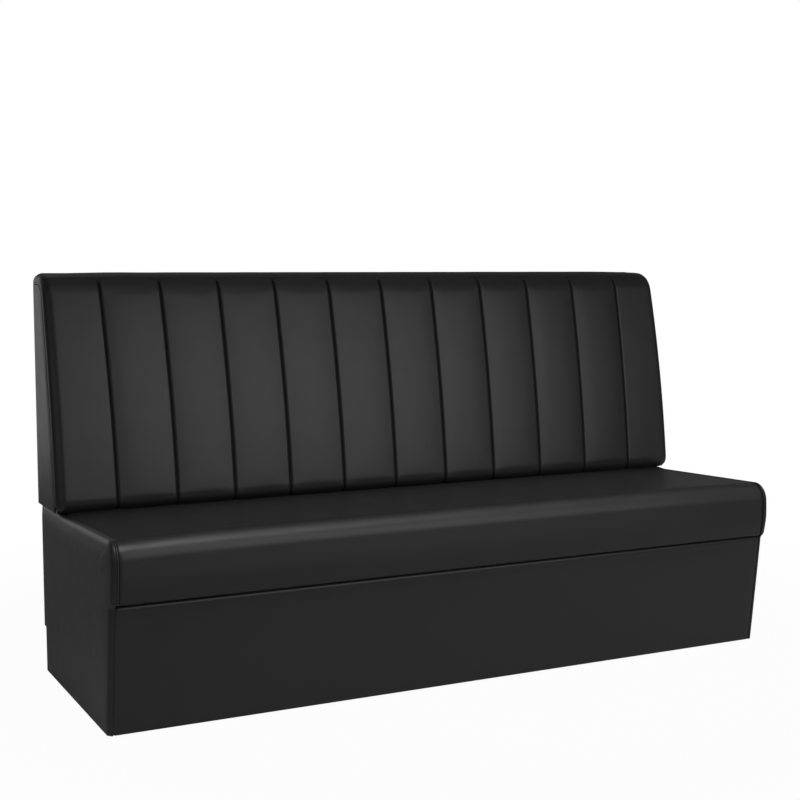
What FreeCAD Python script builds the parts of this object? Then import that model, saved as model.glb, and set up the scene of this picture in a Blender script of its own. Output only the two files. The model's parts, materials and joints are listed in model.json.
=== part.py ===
import FreeCAD, Part
import math
import os
import re
import Sketcher

# Single-sided restaurant bench, in millimetres and degrees.
# X runs along the bench, Y from the sitter's knees to the wall, Z up.
# The origin is on the floor, in the middle of the bench's length and depth.

SIZES = {
    # Whole bench, measured over its covers
    "bench_length": 1800,
    "bench_depth": 640,
    "bench_height": 1000,
    # Materials
    "ply_thick": 18,
    "batten_wide": 44,
    "batten_thin": 28,
    "cover_thick": 1.2,
    "padding_thick": 5,
    "piping_radius": 2.2,
    "soft_gap": 0.3,
    # Plinth
    "plinth_inset": 8,
    "glide_high": 3,
    "joint_high": 295,
    "nose_overhang": 21,
    "toe_setback": 33.5,
    "recess_high": 115,
    "end_lip": 12,
    "end_edge_radius": 11,
    "hollow_radius": 6,
    "belly_radius": 250,
    "under_radius": 8,
    "under_half": 6,
    "lip_radius": 4,
    "bottom_wrap": 25,
    "rib_hole_radius": 60,
    "rib_hole_high": 160,
    # Seat
    "seat_high": 438,
    "seat_tilt": 2,
    "seat_crown": 5,
    "seat_tuck": 27,
    "seat_foam_thick": 100,
    "nose_radius": 43,
    "nose_low": 345,
    "nose_turn": 17.5,
    "cushion_proud": 11,
    "rear_turn": 5,
    "deck_thick": 18,
    "vent_radius": 12.5,
    "vent_pitch": 110,
    # Back
    "back_low": 427,
    "back_deep": 202,
    "tuck_radius": 32,
    "roll_radius": 70,
    "lean_low": 6,
    "lean_high": 14.5,
    "seam_angle": 52,
    "back_foam_thick": 16,
    "channel_rise": 7.5,
    "groove_deep": 6,
    "shoulder_radius": 8,
    "shoulder_angle": 60,
    "face_ply": 5,
    "rear_board": 4,
    # Fixings
    "bolt_radius": 4,
    "bolt_long": 74,
    "head_radius": 7.5,
    "head_high": 5.3,
    "flange_radius": 9,
    "flange_thick": 1.6,
    "barrel_radius": 5.2,
    "barrel_long": 9,
    "bore_gap": 0.25,
    "glide_radius": 12,
    "stem_radius": 2.5,
    "stem_long": 14,
    # Counts and shares
    "channels": 12,
    "vent_columns": 9,
    "fixings": 4,
    "bolt_share": 0.24,
    "glide_share": 0.3,
    "rib_share": 0.33,
}

# Places worked out from the sizes and from places above them
PLACES = {
    "half": "bench_length / 2",
    "front": "-bench_depth / 2",
    "rear": "bench_depth / 2",
    "layer": "cover_thick + padding_thick",
    "seam_band": "2 * (piping_radius + soft_gap)",
    # Plinth
    "plinth_half": "half - plinth_inset",
    "lip_x": "plinth_half - end_lip",
    "panel_out": "plinth_half - layer",
    "panel_in": "panel_out - ply_thick",
    "wood_low": "glide_high + cover_thick",
    "joint_front": "front + nose_overhang",
    "toe_front": "joint_front + toe_setback",
    "front_slope": "toe_setback / (joint_high - glide_high)",
    "under_top": "joint_high + under_half",
    "under_low": "joint_high - under_half",
    "rear_wood": "rear - cover_thick",
    "recess_rear": "rear - ply_thick",
    "recess_wood": "recess_rear - cover_thick",
    "recess_inner": "recess_wood - ply_thick",
    "recess_top": "recess_high + batten_wide",
    "deck_top": "seat_high - seat_foam_thick",
    "deck_low": "deck_top - deck_thick",
    "panel_foot": "toe_front + layer",
    "deck_front": "panel_foot - front_slope * (deck_low - wood_low)",
    "rail_foot": "panel_foot + ply_thick",
    "rail_shoulder": "rail_foot - front_slope * batten_wide",
    "cleat_low": "deck_low - batten_wide",
    "top_rail_foot": "rail_foot - front_slope * (cleat_low - wood_low)",
    "top_rail_shoulder": "rail_foot - front_slope * (deck_low - wood_low)",
    "bottom_rail_top": "wood_low + batten_wide",
    "rear_rail_front": "recess_inner - batten_thin",
    "hang_rail_front": "recess_wood - batten_thin",
    "bolt_rail_low": "back_low - batten_wide",
    # Seat
    "seat_half": "lip_x - seam_band",
    "seat_slope": "tan(seat_tilt)",
    "belly_turn": "(nose_overhang - cushion_proud) / (1 - cos(nose_turn))",
    "belly_high": "joint_high + 2 * soft_gap + belly_turn * sin(nose_turn)",
    "nose_y": "front + nose_radius",
    "nose_z": "seat_high - seat_slope * nose_radius - nose_radius / cos(seat_tilt)",
    # Back
    "back_front": "rear - back_deep",
    "seat_rear": "back_front + seat_tuck",
    "deck_rear": "seat_rear + soft_gap",
    "seat_rear_top": "seat_high - seat_slope * (seat_rear - front)",
    "end_rear_top": "back_low - soft_gap",
    "back_soft": "cover_thick + channel_rise + back_foam_thick",
    "end_round": "back_soft - soft_gap",
    "frame_inset": "back_soft + face_ply",
    "tuck_y": "back_front + tuck_radius",
    "tuck_z": "back_low + tuck_radius",
    "lean_rise": "sin(lean_high) - sin(lean_low)",
    "face_foot": "tuck_z + tuck_radius * sin(lean_low)",
    "face_head": "bench_height - roll_radius * (1 - sin(lean_high))",
    "face_radius": "(face_head - face_foot) / lean_rise",
    "face_y": "tuck_y + (face_radius - tuck_radius) * cos(lean_low)",
    "face_z": "tuck_z - (face_radius - tuck_radius) * sin(lean_low)",
    "roll_y": "face_y - (face_radius - roll_radius) * cos(lean_high)",
    "roll_z": "bench_height - roll_radius",
    "board_radius": "face_radius - back_soft",
    "frame_radius": "face_radius - frame_inset",
    "frame_roll": "roll_radius - frame_inset",
    "foot_y": "face_y - frame_radius * cos(lean_low)",
    "foot_z": "face_z + frame_radius * sin(lean_low)",
    "board_foot_y": "face_y - board_radius * cos(lean_low)",
    "board_foot_z": "face_z + board_radius * sin(lean_low)",
    "back_base_top": "back_low + ply_thick",
    "top_rail_top": "bench_height - back_soft",
    "top_rail_low": "top_rail_top - batten_wide",
    "frame_top_y": "face_y - sqrt(frame_radius ^ 2 - (top_rail_low - face_z) ^ 2)",
    "board_top_y": "face_y - sqrt(board_radius ^ 2 - (top_rail_low - face_z) ^ 2)",
    "roll_corner": "roll_y - (roll_radius - back_soft) * (1 - sin(lean_high)) / cos(lean_high)",
    "frame_rear": "rear_wood - rear_board",
    "frame_out": "half - layer",
    "frame_inner": "frame_out - ply_thick",
    "channel_wide": "bench_length / channels",
    # Fixings
    "bolt_pitch": "bench_length * bolt_share",
    "bolt_first": "(1 - fixings) / 2 * bolt_pitch",
    "bolt_front": "deck_rear + batten_thin / 2",
    "bolt_rear": "hang_rail_front + batten_thin / 2",
    "glide_pitch": "bench_length * glide_share",
    "glide_first": "(1 - fixings) / 2 * glide_pitch",
    "glide_front": "rail_foot + batten_thin / 2",
    "glide_rear": "rear_rail_front + batten_thin / 2",
    "rib_x": "rib_share * panel_in - ply_thick / 2",
}

STATION_SHARES = (-1, -0.8, -0.4, 0, 0.4, 0.8, 1)

doc = FreeCAD.newDocument("Bench")
sheet = doc.addObject("Spreadsheet::Sheet", "Size")
place = doc.addObject("App::VarSet", "Place")
probe = doc.addObject("App::VarSet", "Probe")
probe.addProperty("App::PropertyFloat", "reading")
vector = FreeCAD.Vector
nodes = []


# Sizes, places and formulas


def linked(formula):
    """Put the object that holds each size or place before its name."""
    def owned(word):
        name = word.group()
        if name in SIZES:
            return "Size." + name
        return "Place." + name if name in PLACES else name
    return re.sub(r"[a-z_]+", owned, str(formula))


def bind(target, **formulas):
    """Bind properties of an object to formulas."""
    for name, formula in formulas.items():
        target.setExpression(name, linked(formula))


def fill_sheet():
    """Write each driving size in the sheet, with its name as the cell's alias."""
    for row, (name, number) in enumerate(SIZES.items(), 1):
        sheet.set(f"A{row}", name)
        sheet.set(f"B{row}", str(number))
        sheet.setAlias(f"B{row}", name)
    doc.recompute()
    return {name: float(sheet.get(name)) for name in SIZES}


def fill_places():
    """Work the places out in the document and read them back."""
    for name, formula in PLACES.items():
        place.addProperty("App::PropertyFloat", name)
        bind(place, **{name: formula})
    doc.recompute()
    return {name: getattr(place, name) for name in PLACES}


def reading(formula):
    """Read the number that a formula stands for."""
    bind(probe, reading=formula)
    probe.recompute()
    return probe.reading


def node(label, made):
    """Name a finished sub-part and list it for writing."""
    made.Label = label
    nodes.append(made)
    return made


def move(target, **formulas):
    """Bind an object's place along x, y or z."""
    for axis, formula in formulas.items():
        target.setExpression(f"Placement.Base.{axis}", linked(formula))


# Sketches


def sketch_on(body, role):
    """Start a sketch on one of a body's own planes."""
    sketch = body.newObject("Sketcher::SketchObject", "Outline")
    plane = [item for item in body.Origin.OriginFeatures if item.Role == role]
    sketch.AttachmentSupport = [(plane[0], "")]
    sketch.MapMode = "FlatFace"
    return sketch


def hold(sketch, kind, where, formula):
    """Add a dimension that follows a formula."""
    number = sketch.addConstraint(Sketcher.Constraint(kind, *where, reading(formula)))
    sketch.setExpression(f"Constraints[{number}]", linked(formula))


def hold_point(sketch, geometry, end, across, up):
    """Fix one point of a sketch by its two distances from the origin."""
    hold(sketch, "DistanceX", (-1, 1, geometry, end), across)
    hold(sketch, "DistanceY", (-1, 1, geometry, end), up)


def rounding_points(before, corner, after, radius):
    """Start, middle and end of a rounding between two straight sides."""
    back = (before - corner).normalize()
    onward = (after - corner).normalize()
    inward = (back + onward).normalize()
    half_angle = back.getAngle(onward) / 2
    reach = radius / math.tan(half_angle)
    depth = radius / math.sin(half_angle) - radius
    return corner + back * reach, corner + inward * depth, corner + onward * reach


def add_arc(sketch, start, middle, end):
    """Add an arc, and number its ends: a sketched arc runs anticlockwise."""
    if (middle - start).cross(end - middle).z > 0:
        return sketch.addGeometry(Part.Arc(start, middle, end), False), 1, 2
    return sketch.addGeometry(Part.Arc(end, middle, start), False), 2, 1


def add_side(sketch, start, end, bow):
    """Add a straight side, or an arc that bows outwards, or inwards below zero."""
    if bow == 0:
        return sketch.addGeometry(Part.LineSegment(start, end), False), 1, 2
    chord = end - start
    outward = vector(chord.y, -chord.x, 0).normalize()
    rise = abs(bow) - math.sqrt(bow ** 2 - chord.Length ** 2 / 4)
    middle = (start + end) / 2 + outward * math.copysign(rise, bow)
    return add_arc(sketch, start, middle, end)


def draw(sketch, corners):
    """Draw a closed outline, anticlockwise; a corner is across, up, rounding, bow."""
    corners = [(*corner, 0, 0)[:4] for corner in corners]
    spots = [vector(reading(corner[0]), reading(corner[1]), 0) for corner in corners]
    count = len(corners)
    enter, leave, arcs = list(spots), list(spots), {}
    for at_corner, (_, _, rounding, _) in enumerate(corners):
        if rounding:
            before, after = spots[at_corner - 1], spots[(at_corner + 1) % count]
            points = rounding_points(before, spots[at_corner], after, reading(rounding))
            enter[at_corner], leave[at_corner] = points[0], points[2]
            arcs[at_corner] = add_arc(sketch, *points)
    sides = [
        add_side(sketch, leave[n], enter[(n + 1) % count], reading(corners[n][3]))
        for n in range(count)
    ]
    for at_corner, (across, up, rounding, bow) in enumerate(corners):
        last, _, last_end = sides[at_corner - 1]
        side, side_start, _ = sides[at_corner]
        if bow:
            radius = f"-({bow})" if reading(bow) < 0 else bow
            hold(sketch, "Radius", (side,), radius)
        if not rounding:
            sketch.addConstraint(Sketcher.Constraint("Coincident", last, last_end, side, side_start))
            hold_point(sketch, side, side_start, across, up)
            continue
        arc, arc_start, arc_end = arcs[at_corner]
        point = sketch.addGeometry(Part.Point(spots[at_corner]), True)
        sketch.addConstraint([
            Sketcher.Constraint("Tangent", last, last_end, arc, arc_start),
            Sketcher.Constraint("Tangent", arc, arc_end, side, side_start),
            Sketcher.Constraint("PointOnObject", point, 1, last),
            Sketcher.Constraint("PointOnObject", point, 1, side),
        ])
        hold(sketch, "Radius", (arc,), rounding)
        hold_point(sketch, point, 1, across, up)


def draw_circles(sketch, centres, radius):
    """Draw equal circles."""
    for across, up in centres:
        centre = vector(reading(across), reading(up), 0)
        round_line = Part.Circle(centre, vector(0, 0, 1), reading(radius))
        circle = sketch.addGeometry(round_line, False)
        hold(sketch, "Radius", (circle,), radius)
        hold_point(sketch, circle, 3, across, up)


# Bodies


def start_body(label):
    """Start a body that may hold separate solids."""
    body = doc.addObject("PartDesign::Body", label)
    body.AllowCompound = True
    return body


def pad(body, sketch, long):
    """Raise a sketch along its plane's normal."""
    feature = body.newObject("PartDesign::Pad", "Pad")
    feature.Profile = sketch
    bind(feature, Length=long)
    return feature


def slab(label, corners, long, role="YZ_Plane"):
    """Make a body with one outline through its whole thickness."""
    body = start_body(label)
    sketch = sketch_on(body, role)
    draw(sketch, corners)
    pad(body, sketch, long)
    return body


def along(label, corners, end):
    """Make a body with one outline along the bench, as far as end to both sides."""
    body = slab(label, corners, f"2 * ({end})")
    move(body, x=f"-({end})")
    return body


def box(label, x_span, y_span, z_span):
    """Make a box between two formulas on each axis."""
    made = doc.addObject("Part::Box", label)
    bind(made, Length=f"{x_span[1]} - ({x_span[0]})")
    bind(made, Width=f"{y_span[1]} - ({y_span[0]})")
    bind(made, Height=f"{z_span[1]} - ({z_span[0]})")
    move(made, x=x_span[0], y=y_span[0], z=z_span[0])
    return made


def rail(label, y_span, z_span, end):
    """Make a straight rail or board along the bench."""
    (low_y, high_y), (low_z, high_z) = y_span, z_span
    corners = [(low_y, low_z), (high_y, low_z), (high_y, high_z), (low_y, high_z)]
    return along(label, corners, end)


def cut_through(body, sketch):
    """Cut a sketch's outline right through a body, to both sides of its plane."""
    pocket = body.newObject("PartDesign::Pocket", "Bore")
    pocket.Profile = sketch
    pocket.Type = "ThroughAll"
    pocket.Midplane = True
    return pocket


def repeat(body, sketch, features, count, pitch):
    """Repeat features along the bench."""
    pattern = body.newObject("PartDesign::LinearPattern", "Row")
    pattern.Originals = features
    pattern.Direction = (sketch, ["H_Axis"])
    bind(pattern, Length=f"({count} - 1) * {pitch}", Occurrences=count)
    body.Tip = pattern


def bore_row(body, centres, radius, count, pitch):
    """Bore upright holes, repeated along the bench."""
    sketch = sketch_on(body, "XY_Plane")
    draw_circles(sketch, centres, radius)
    repeat(body, sketch, [cut_through(body, sketch)], count, pitch)


def mirrored(label, source):
    """Make the left-hand twin of a right-hand piece."""
    twin = doc.addObject("Part::Mirroring", label)
    twin.Source = source
    twin.Normal = vector(1, 0, 0)
    return twin


def pair(stem, right):
    """List a right-hand piece and its left-hand twin."""
    node(f"{stem}_right", right)
    node(f"{stem}_left", mirrored(f"{stem}_left", right))


def cut(label, base, tool):
    """Take one object away from another."""
    made = doc.addObject("Part::Cut", label)
    made.Base = base
    made.Tool = tool
    return made


# Sections for soft pieces, as edges of start, middle and end; a straight edge has no middle


def turned(centre, radius, angle):
    """A point on an arc; angle 0 faces the sitter and 90 faces up."""
    across = centre[0] - radius * math.cos(math.radians(angle))
    up = centre[1] + radius * math.sin(math.radians(angle))
    return across, up


def bend(centre, radius, start, end):
    """An arc edge between two angles."""
    middle = turned(centre, radius, (start + end) / 2)
    return turned(centre, radius, start), middle, turned(centre, radius, end)


def reverse(edges):
    """The same edges the other way round."""
    return [edge[::-1] for edge in edges[::-1]]


def flip(edges):
    """The same edges on the other side of the middle, the other way round."""
    return [tuple(spot and (-spot[0], spot[1]) for spot in edge) for edge in reverse(edges)]


def ring(edges, spot):
    """Join edges into a closed wire, with straight lines across their gaps."""
    lines = []
    for (start, middle, end), (following, _, _) in zip(edges, edges[1:] + edges[:1]):
        if middle:
            lines.append(Part.Arc(spot(*start), spot(*middle), spot(*end)).toShape())
        else:
            lines.append(Part.makeLine(spot(*start), spot(*end)))
        if not spot(*end).isEqual(spot(*following), lines[0].Length / 10 ** 6):
            lines.append(Part.makeLine(spot(*end), spot(*following)))
    return Part.Wire(lines)


def upright(across, up):
    """A section's point in the upright plane across the bench's depth."""
    return vector(across, 0, up)


def held(label, shape):
    """Hold a soft form's shape in the document."""
    made = doc.addObject("Part::Feature", label)
    made.Shape = shape
    return made


def turn_stage(section, centre, radius, start, end):
    """Carry a section round a bend; its crown line is at height zero."""
    axis = vector(0, *centre)
    face = section.copy()
    face.translate(vector(0, centre[0], centre[1] + radius))
    face.rotate(axis, vector(1, 0, 0), 90 - start)
    return face.revolve(axis, vector(-1, 0, 0), end - start)


def run_stage(section, start, angle, long):
    """Carry a section along a straight run."""
    origin = vector(0, *start)
    face = section.copy()
    face.translate(origin)
    face.rotate(origin, vector(1, 0, 0), 90 - angle)
    way = vector(0, math.sin(math.radians(angle)), math.cos(math.radians(angle)))
    return face.extrude(way * long)


def back_stages(section, parts, rear=0):
    """Carry a section along named parts of the back's path."""
    tuck = at["tuck_y"], at["tuck_z"]
    face = at["face_y"], at["face_z"]
    roll = at["roll_y"], at["roll_z"]
    low, high, seam = size["lean_low"], size["lean_high"], size["seam_angle"]
    bends = {
        "tuck": (tuck, size["tuck_radius"], -90, low),
        "face": (face, at["face_radius"], low, high),
        "border": (roll, size["roll_radius"], high, seam),
        "roll": (roll, size["roll_radius"], seam, 90),
    }
    pieces = [turn_stage(section, *bends[part]) for part in parts]
    if rear:
        start = at["roll_y"], size["bench_height"]
        pieces.append(run_stage(section, start, 90, rear - at["roll_y"]))
    return pieces[0].fuse(pieces[1:])


# Plinth, timber


def end_outline(inset, rear_inset, foot, hollow):
    """Outline of a plinth end, seat nose included, set in from the cover's."""
    seat_top = f"seat_high - {inset}"
    rear_y = f"rear - {rear_inset}"
    recess_y = f"recess_rear - {rear_inset}"
    recess_z = f"recess_high + {rear_inset}"
    return [
        (f"toe_front + {inset}", foot),
        (recess_y, foot),
        (recess_y, recess_z),
        (rear_y, recess_z),
        (rear_y, f"end_rear_top - {inset}"),
        ("seat_rear + batten_thin", f"end_rear_top - {inset}"),
        ("seat_rear", f"seat_rear_top - {inset}"),
        (f"front + {inset}", seat_top, f"nose_radius - {inset}"),
        (f"front + {inset}", "nose_low", f"belly_radius - {inset}"),
        (f"joint_front - cushion_proud + {inset}", f"under_top + {inset}", f"under_radius - {inset}"),
        (f"joint_front + front_slope * (under_half - {inset}) + {inset}", f"under_low + {inset}", hollow),
    ]


def make_end_panels():
    """Ply panel at each end, cut to the nose's shape."""
    outline = end_outline("layer", "cover_thick", "wood_low", 0)
    panel = slab("end_panel_right", outline, "ply_thick")
    move(panel, x="panel_in")
    pair("end_panel", panel)
    return panel


def make_front_panel():
    """Leaning ply front between the end panels."""
    node("front_panel", along("front_panel", [
        ("panel_foot", "wood_low"),
        ("rail_foot", "wood_low"),
        ("top_rail_shoulder", "deck_low"),
        ("deck_front", "deck_low"),
    ], "panel_in"))


def make_front_rails():
    """Battens behind the front panel, planed to its lean."""
    low = along("front_bottom_rail", [
        ("rail_foot", "wood_low"),
        ("rail_foot + batten_thin", "wood_low"),
        ("rail_foot + batten_thin", "bottom_rail_top"),
        ("rail_shoulder", "bottom_rail_top"),
    ], "panel_in")
    stem = "stem_radius + bore_gap"
    bore_row(low, [("panel_in + glide_first", "glide_front")], stem, "fixings", "glide_pitch")
    node("front_bottom_rail", low)
    node("front_top_rail", along("front_top_rail", [
        ("top_rail_foot", "cleat_low"),
        ("top_rail_foot + batten_thin", "cleat_low"),
        ("top_rail_foot + batten_thin", "deck_low"),
        ("top_rail_shoulder", "deck_low"),
    ], "panel_in"))


def make_rear_boards():
    """Ply boards that close the rear, stepped in low down for the skirting."""
    low = box("recess_panel", ("-panel_in", "panel_in"), ("recess_inner", "recess_wood"),
              ("wood_low", "recess_top"))
    high = box("rear_panel", ("-panel_in", "panel_in"), ("recess_wood", "rear_wood"),
               ("recess_high + cover_thick", "back_low"))
    node("recess_panel", low)
    node("rear_panel", high)


def make_rear_rails():
    """Battens along the rear and under the back, bored for their fixings."""
    low = rail("rear_bottom_rail", ("rear_rail_front", "recess_inner"),
               ("wood_low", "bottom_rail_top"), "panel_in")
    glide = [("panel_in + glide_first", "glide_rear")]
    bore_row(low, glide, "stem_radius + bore_gap", "fixings", "glide_pitch")
    node("rear_bottom_rail", low)
    bolt = "bolt_radius + bore_gap"
    high = rail("rear_top_rail", ("hang_rail_front", "recess_wood"),
                ("bolt_rail_low", "back_low"), "panel_in")
    bore_row(high, [("panel_in + bolt_first", "bolt_rear")], bolt, "fixings", "bolt_pitch")
    node("rear_top_rail", high)
    middle = rail("back_support_rail", ("deck_rear", "deck_rear + batten_thin"),
                  ("bolt_rail_low", "back_low"), "panel_in")
    bore_row(middle, [("panel_in + bolt_first", "bolt_front")], bolt, "fixings", "bolt_pitch")
    node("back_support_rail", middle)


def make_ribs():
    """Ply ribs across the plinth, notched round the battens."""
    rib = slab("rib_right", [
        ("rail_foot + batten_thin", "wood_low"),
        ("rear_rail_front", "wood_low"),
        ("rear_rail_front", "bottom_rail_top"),
        ("recess_inner", "bottom_rail_top"),
        ("recess_inner", "recess_top"),
        ("recess_wood", "recess_top"),
        ("recess_wood", "bolt_rail_low"),
        ("deck_rear", "bolt_rail_low"),
        ("deck_rear", "deck_low"),
        ("top_rail_foot + batten_thin", "deck_low"),
        ("top_rail_foot + batten_thin", "cleat_low"),
        ("top_rail_foot", "cleat_low"),
        ("rail_shoulder", "bottom_rail_top"),
        ("rail_foot + batten_thin", "bottom_rail_top"),
    ], "ply_thick")
    sketch = sketch_on(rib, "YZ_Plane")
    draw_circles(sketch, [("0", "rib_hole_high")], "rib_hole_radius")
    cut_through(rib, sketch)
    move(rib, x="rib_x")
    pair("rib", rib)


def make_deck():
    """Seat board with vent holes, and the battens that carry its ends."""
    deck = rail("seat_deck", ("deck_front", "deck_rear"), ("deck_low", "deck_top"), "panel_in")
    middle = "(deck_front + deck_rear) / 2"
    rows = [f"{middle} - vent_pitch", middle, f"{middle} + vent_pitch"]
    first = "panel_in - (vent_columns - 1) / 2 * channel_wide"
    bore_row(deck, [(first, row) for row in rows], "vent_radius", "vent_columns", "channel_wide")
    node("seat_deck", deck)
    cleat = box("cleat_right", ("panel_in - batten_thin", "panel_in"),
                ("top_rail_foot + batten_thin", "deck_rear"), ("cleat_low", "deck_low"))
    cleats = doc.addObject("Part::Compound", "deck_cleats")
    cleats.Links = [cleat, mirrored("cleat_left", cleat)]
    node("deck_cleats", cleats)


# Plinth and seat, soft


def end_tray(label, inset, rear_inset, foot):
    """Solid end with a rounded outer edge, from the lip outwards."""
    outline = end_outline(inset, rear_inset, foot, f"hollow_radius + {inset}")
    body = slab(label, outline, f"end_lip - {inset}")
    doc.recompute()
    base = body.Tip
    outside, bottom, rear = size["end_lip"] / 2, at["bottom_rail_top"], at["recess_wood"]
    names = [
        f"Edge{number}" for number, edge in enumerate(base.Shape.Edges, 1)
        if edge.BoundBox.XMin > outside and edge.BoundBox.ZMax > bottom and edge.BoundBox.YMin < rear
    ]
    fillet = body.newObject("PartDesign::Fillet", "Rounding")
    fillet.Base = (base, names)
    bind(fillet, Radius=f"end_edge_radius - {inset}")
    move(body, x="lip_x")
    return body


def make_end_covers(panel):
    """Padding and cover drawn over each end panel and its edges."""
    outer = end_tray("end_outer", "0", "0", "glide_high")
    inner = end_tray("end_inner", "cover_thick", "cover_thick", "wood_low")
    pair("end_cover", cut("end_cover_right", outer, inner))
    pair("end_padding", cut("end_padding_right", inner, panel))


def make_front_covers():
    """Padding and cover over the leaning front, up to the joint."""
    node("front_padding", along("front_padding", [
        ("toe_front + cover_thick", "wood_low"),
        ("toe_front + layer", "wood_low"),
        ("joint_front + layer", "joint_high - cover_thick"),
        ("joint_front + cover_thick", "joint_high - cover_thick", "lip_radius - cover_thick"),
    ], "lip_x - soft_gap"))
    node("front_cover", along("front_cover", [
        ("toe_front", "glide_high"),
        ("toe_front + bottom_wrap", "glide_high"),
        ("toe_front + bottom_wrap", "wood_low"),
        ("toe_front + cover_thick", "wood_low"),
        ("joint_front + cover_thick", "joint_high - cover_thick", "lip_radius - cover_thick"),
        ("joint_front + layer", "joint_high - cover_thick"),
        ("joint_front + layer", "joint_high"),
        ("joint_front", "joint_high", "lip_radius"),
    ], "lip_x - soft_gap"))


def make_rear_covers():
    """Cover down the rear and into its recess, and the cloth under the plinth."""
    node("plinth_rear_cover", along("plinth_rear_cover", [
        ("recess_rear - bottom_wrap", "glide_high"),
        ("recess_rear", "glide_high"),
        ("recess_rear", "recess_high"),
        ("rear", "recess_high"),
        ("rear", "back_low - soft_gap"),
        ("rear_wood", "back_low - soft_gap"),
        ("rear_wood", "recess_high + cover_thick"),
        ("recess_wood", "recess_high + cover_thick"),
        ("recess_wood", "wood_low"),
        ("recess_rear - bottom_wrap", "wood_low"),
    ], "lip_x - soft_gap"))
    span = "toe_front + bottom_wrap + soft_gap", "recess_rear - bottom_wrap - soft_gap"
    cloth = rail("dust_cover", span, ("glide_high", "wood_low"), "lip_x - soft_gap")
    first = "lip_x - soft_gap + glide_first"
    glides = [(first, "glide_front"), (first, "glide_rear")]
    bore_row(cloth, glides, "stem_radius + bore_gap", "fixings", "glide_pitch")
    node("dust_cover", cloth)


def seat_edges(inset, rise):
    """Seat surface from its joint over the nose to its rear edge."""
    front = bend((at["front"] + at["belly_turn"], at["belly_high"]),
                 at["belly_turn"] - inset, -size["nose_turn"], 0)
    nose = bend((at["nose_y"], at["nose_z"] + rise),
                size["nose_radius"] - inset, 0, 90 + size["seat_tilt"])
    rear_y = at["seat_rear"] - inset
    rear_z = nose[2][1] - at["seat_slope"] * (rear_y - nose[2][0])
    return [front, (front[2], None, nose[0]), nose, (nose[2], None, (rear_y, rear_z))]


def seat_loft(section, end):
    """Loft a section along the seat, higher in the middle than at its ends."""
    wires = []
    for share in STATION_SHARES:
        rise = size["seat_crown"] * (1 - share ** 4)
        wires.append(ring(section(rise), lambda y, z: vector(share * end, y, z)))
    return Part.makeLoft(wires, True, False)


def seat_cover_section(rise):
    """Cover's thickness round the nose, over the top and down the rear edge."""
    outer, inner = seat_edges(0, rise), seat_edges(size["cover_thick"], rise)
    low = outer[-1][2][1] - size["rear_turn"]
    outer.append((outer[-1][2], None, (outer[-1][2][0], low)))
    inner.append((inner[-1][2], None, (inner[-1][2][0], low)))
    return outer + reverse(inner)


def seat_foam_section(rise):
    """Foam on the deck, with a nose that hangs in front of it."""
    edges = seat_edges(size["cover_thick"] + size["soft_gap"], rise)
    rear_y, nose_y = edges[-1][2][0], at["deck_front"] - size["soft_gap"]
    spots = [edges[-1][2], (rear_y, at["deck_top"]), (nose_y, at["deck_top"]), (nose_y, edges[0][0][1])]
    return edges + [(start, None, end) for start, end in zip(spots, spots[1:])]


def make_seat():
    """Seat foam, its cover and the piping at its ends."""
    node("seat_foam", held("seat_foam", seat_loft(seat_foam_section, at["panel_in"] - size["soft_gap"])))
    node("seat_cover", held("seat_cover", seat_loft(seat_cover_section, at["seat_half"])))
    (_, _, low), _, (high, _, crest), (_, _, end) = seat_edges(0, 0)
    belly = at["front"] + at["belly_turn"], at["belly_high"]
    nose = at["nose_y"], at["nose_z"]
    cord = cord_section(at["seat_half"] + at["seam_band"] / 2, size["piping_radius"])
    top_angle = 90 + size["seat_tilt"]
    pieces = [
        turn_stage(cord, belly, at["belly_turn"], -size["nose_turn"], 0),
        run_stage(cord, low, 0, high[1] - low[1]),
        turn_stage(cord, nose, size["nose_radius"], 0, top_angle),
        run_stage(cord, crest, top_angle, math.dist(crest, end)),
    ]
    pair("seat_piping", held("seat_piping_right", pieces[0].fuse(pieces[1:])))


# Back, timber


def back_outline(rear_y):
    """Outline of the back's end, set in from its face by the frame's inset."""
    roll_z = "roll_z + frame_roll * sin(lean_high)"
    return [
        ("tuck_y", "back_low"),
        (rear_y, "back_low"),
        (rear_y, "roll_z + frame_roll"),
        ("roll_y", "roll_z + frame_roll", 0, "frame_roll"),
        ("roll_y - frame_roll * cos(lean_high)", roll_z, 0, "frame_radius"),
        ("foot_y", "foot_z"),
        ("tuck_y", "foot_z"),
    ]


def frame_outline(foot):
    """Outline of the upright ply frames of the back."""
    return [
        ("tuck_y", foot),
        ("frame_rear", foot),
        ("frame_rear", "top_rail_low"),
        ("frame_top_y", "top_rail_low", 0, "frame_radius"),
        ("foot_y", "foot_z"),
        ("tuck_y", "foot_z"),
    ]


def make_back_frames():
    """Upright ply frames at the back's ends and over the plinth's ribs."""
    end = slab("back_end_frame_right", frame_outline("back_low"), "ply_thick")
    move(end, x="frame_inner")
    pair("back_end_frame", end)
    rib = slab("back_rib_right", frame_outline("back_base_top"), "ply_thick")
    move(rib, x="rib_x")
    pair("back_rib", rib)


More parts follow.
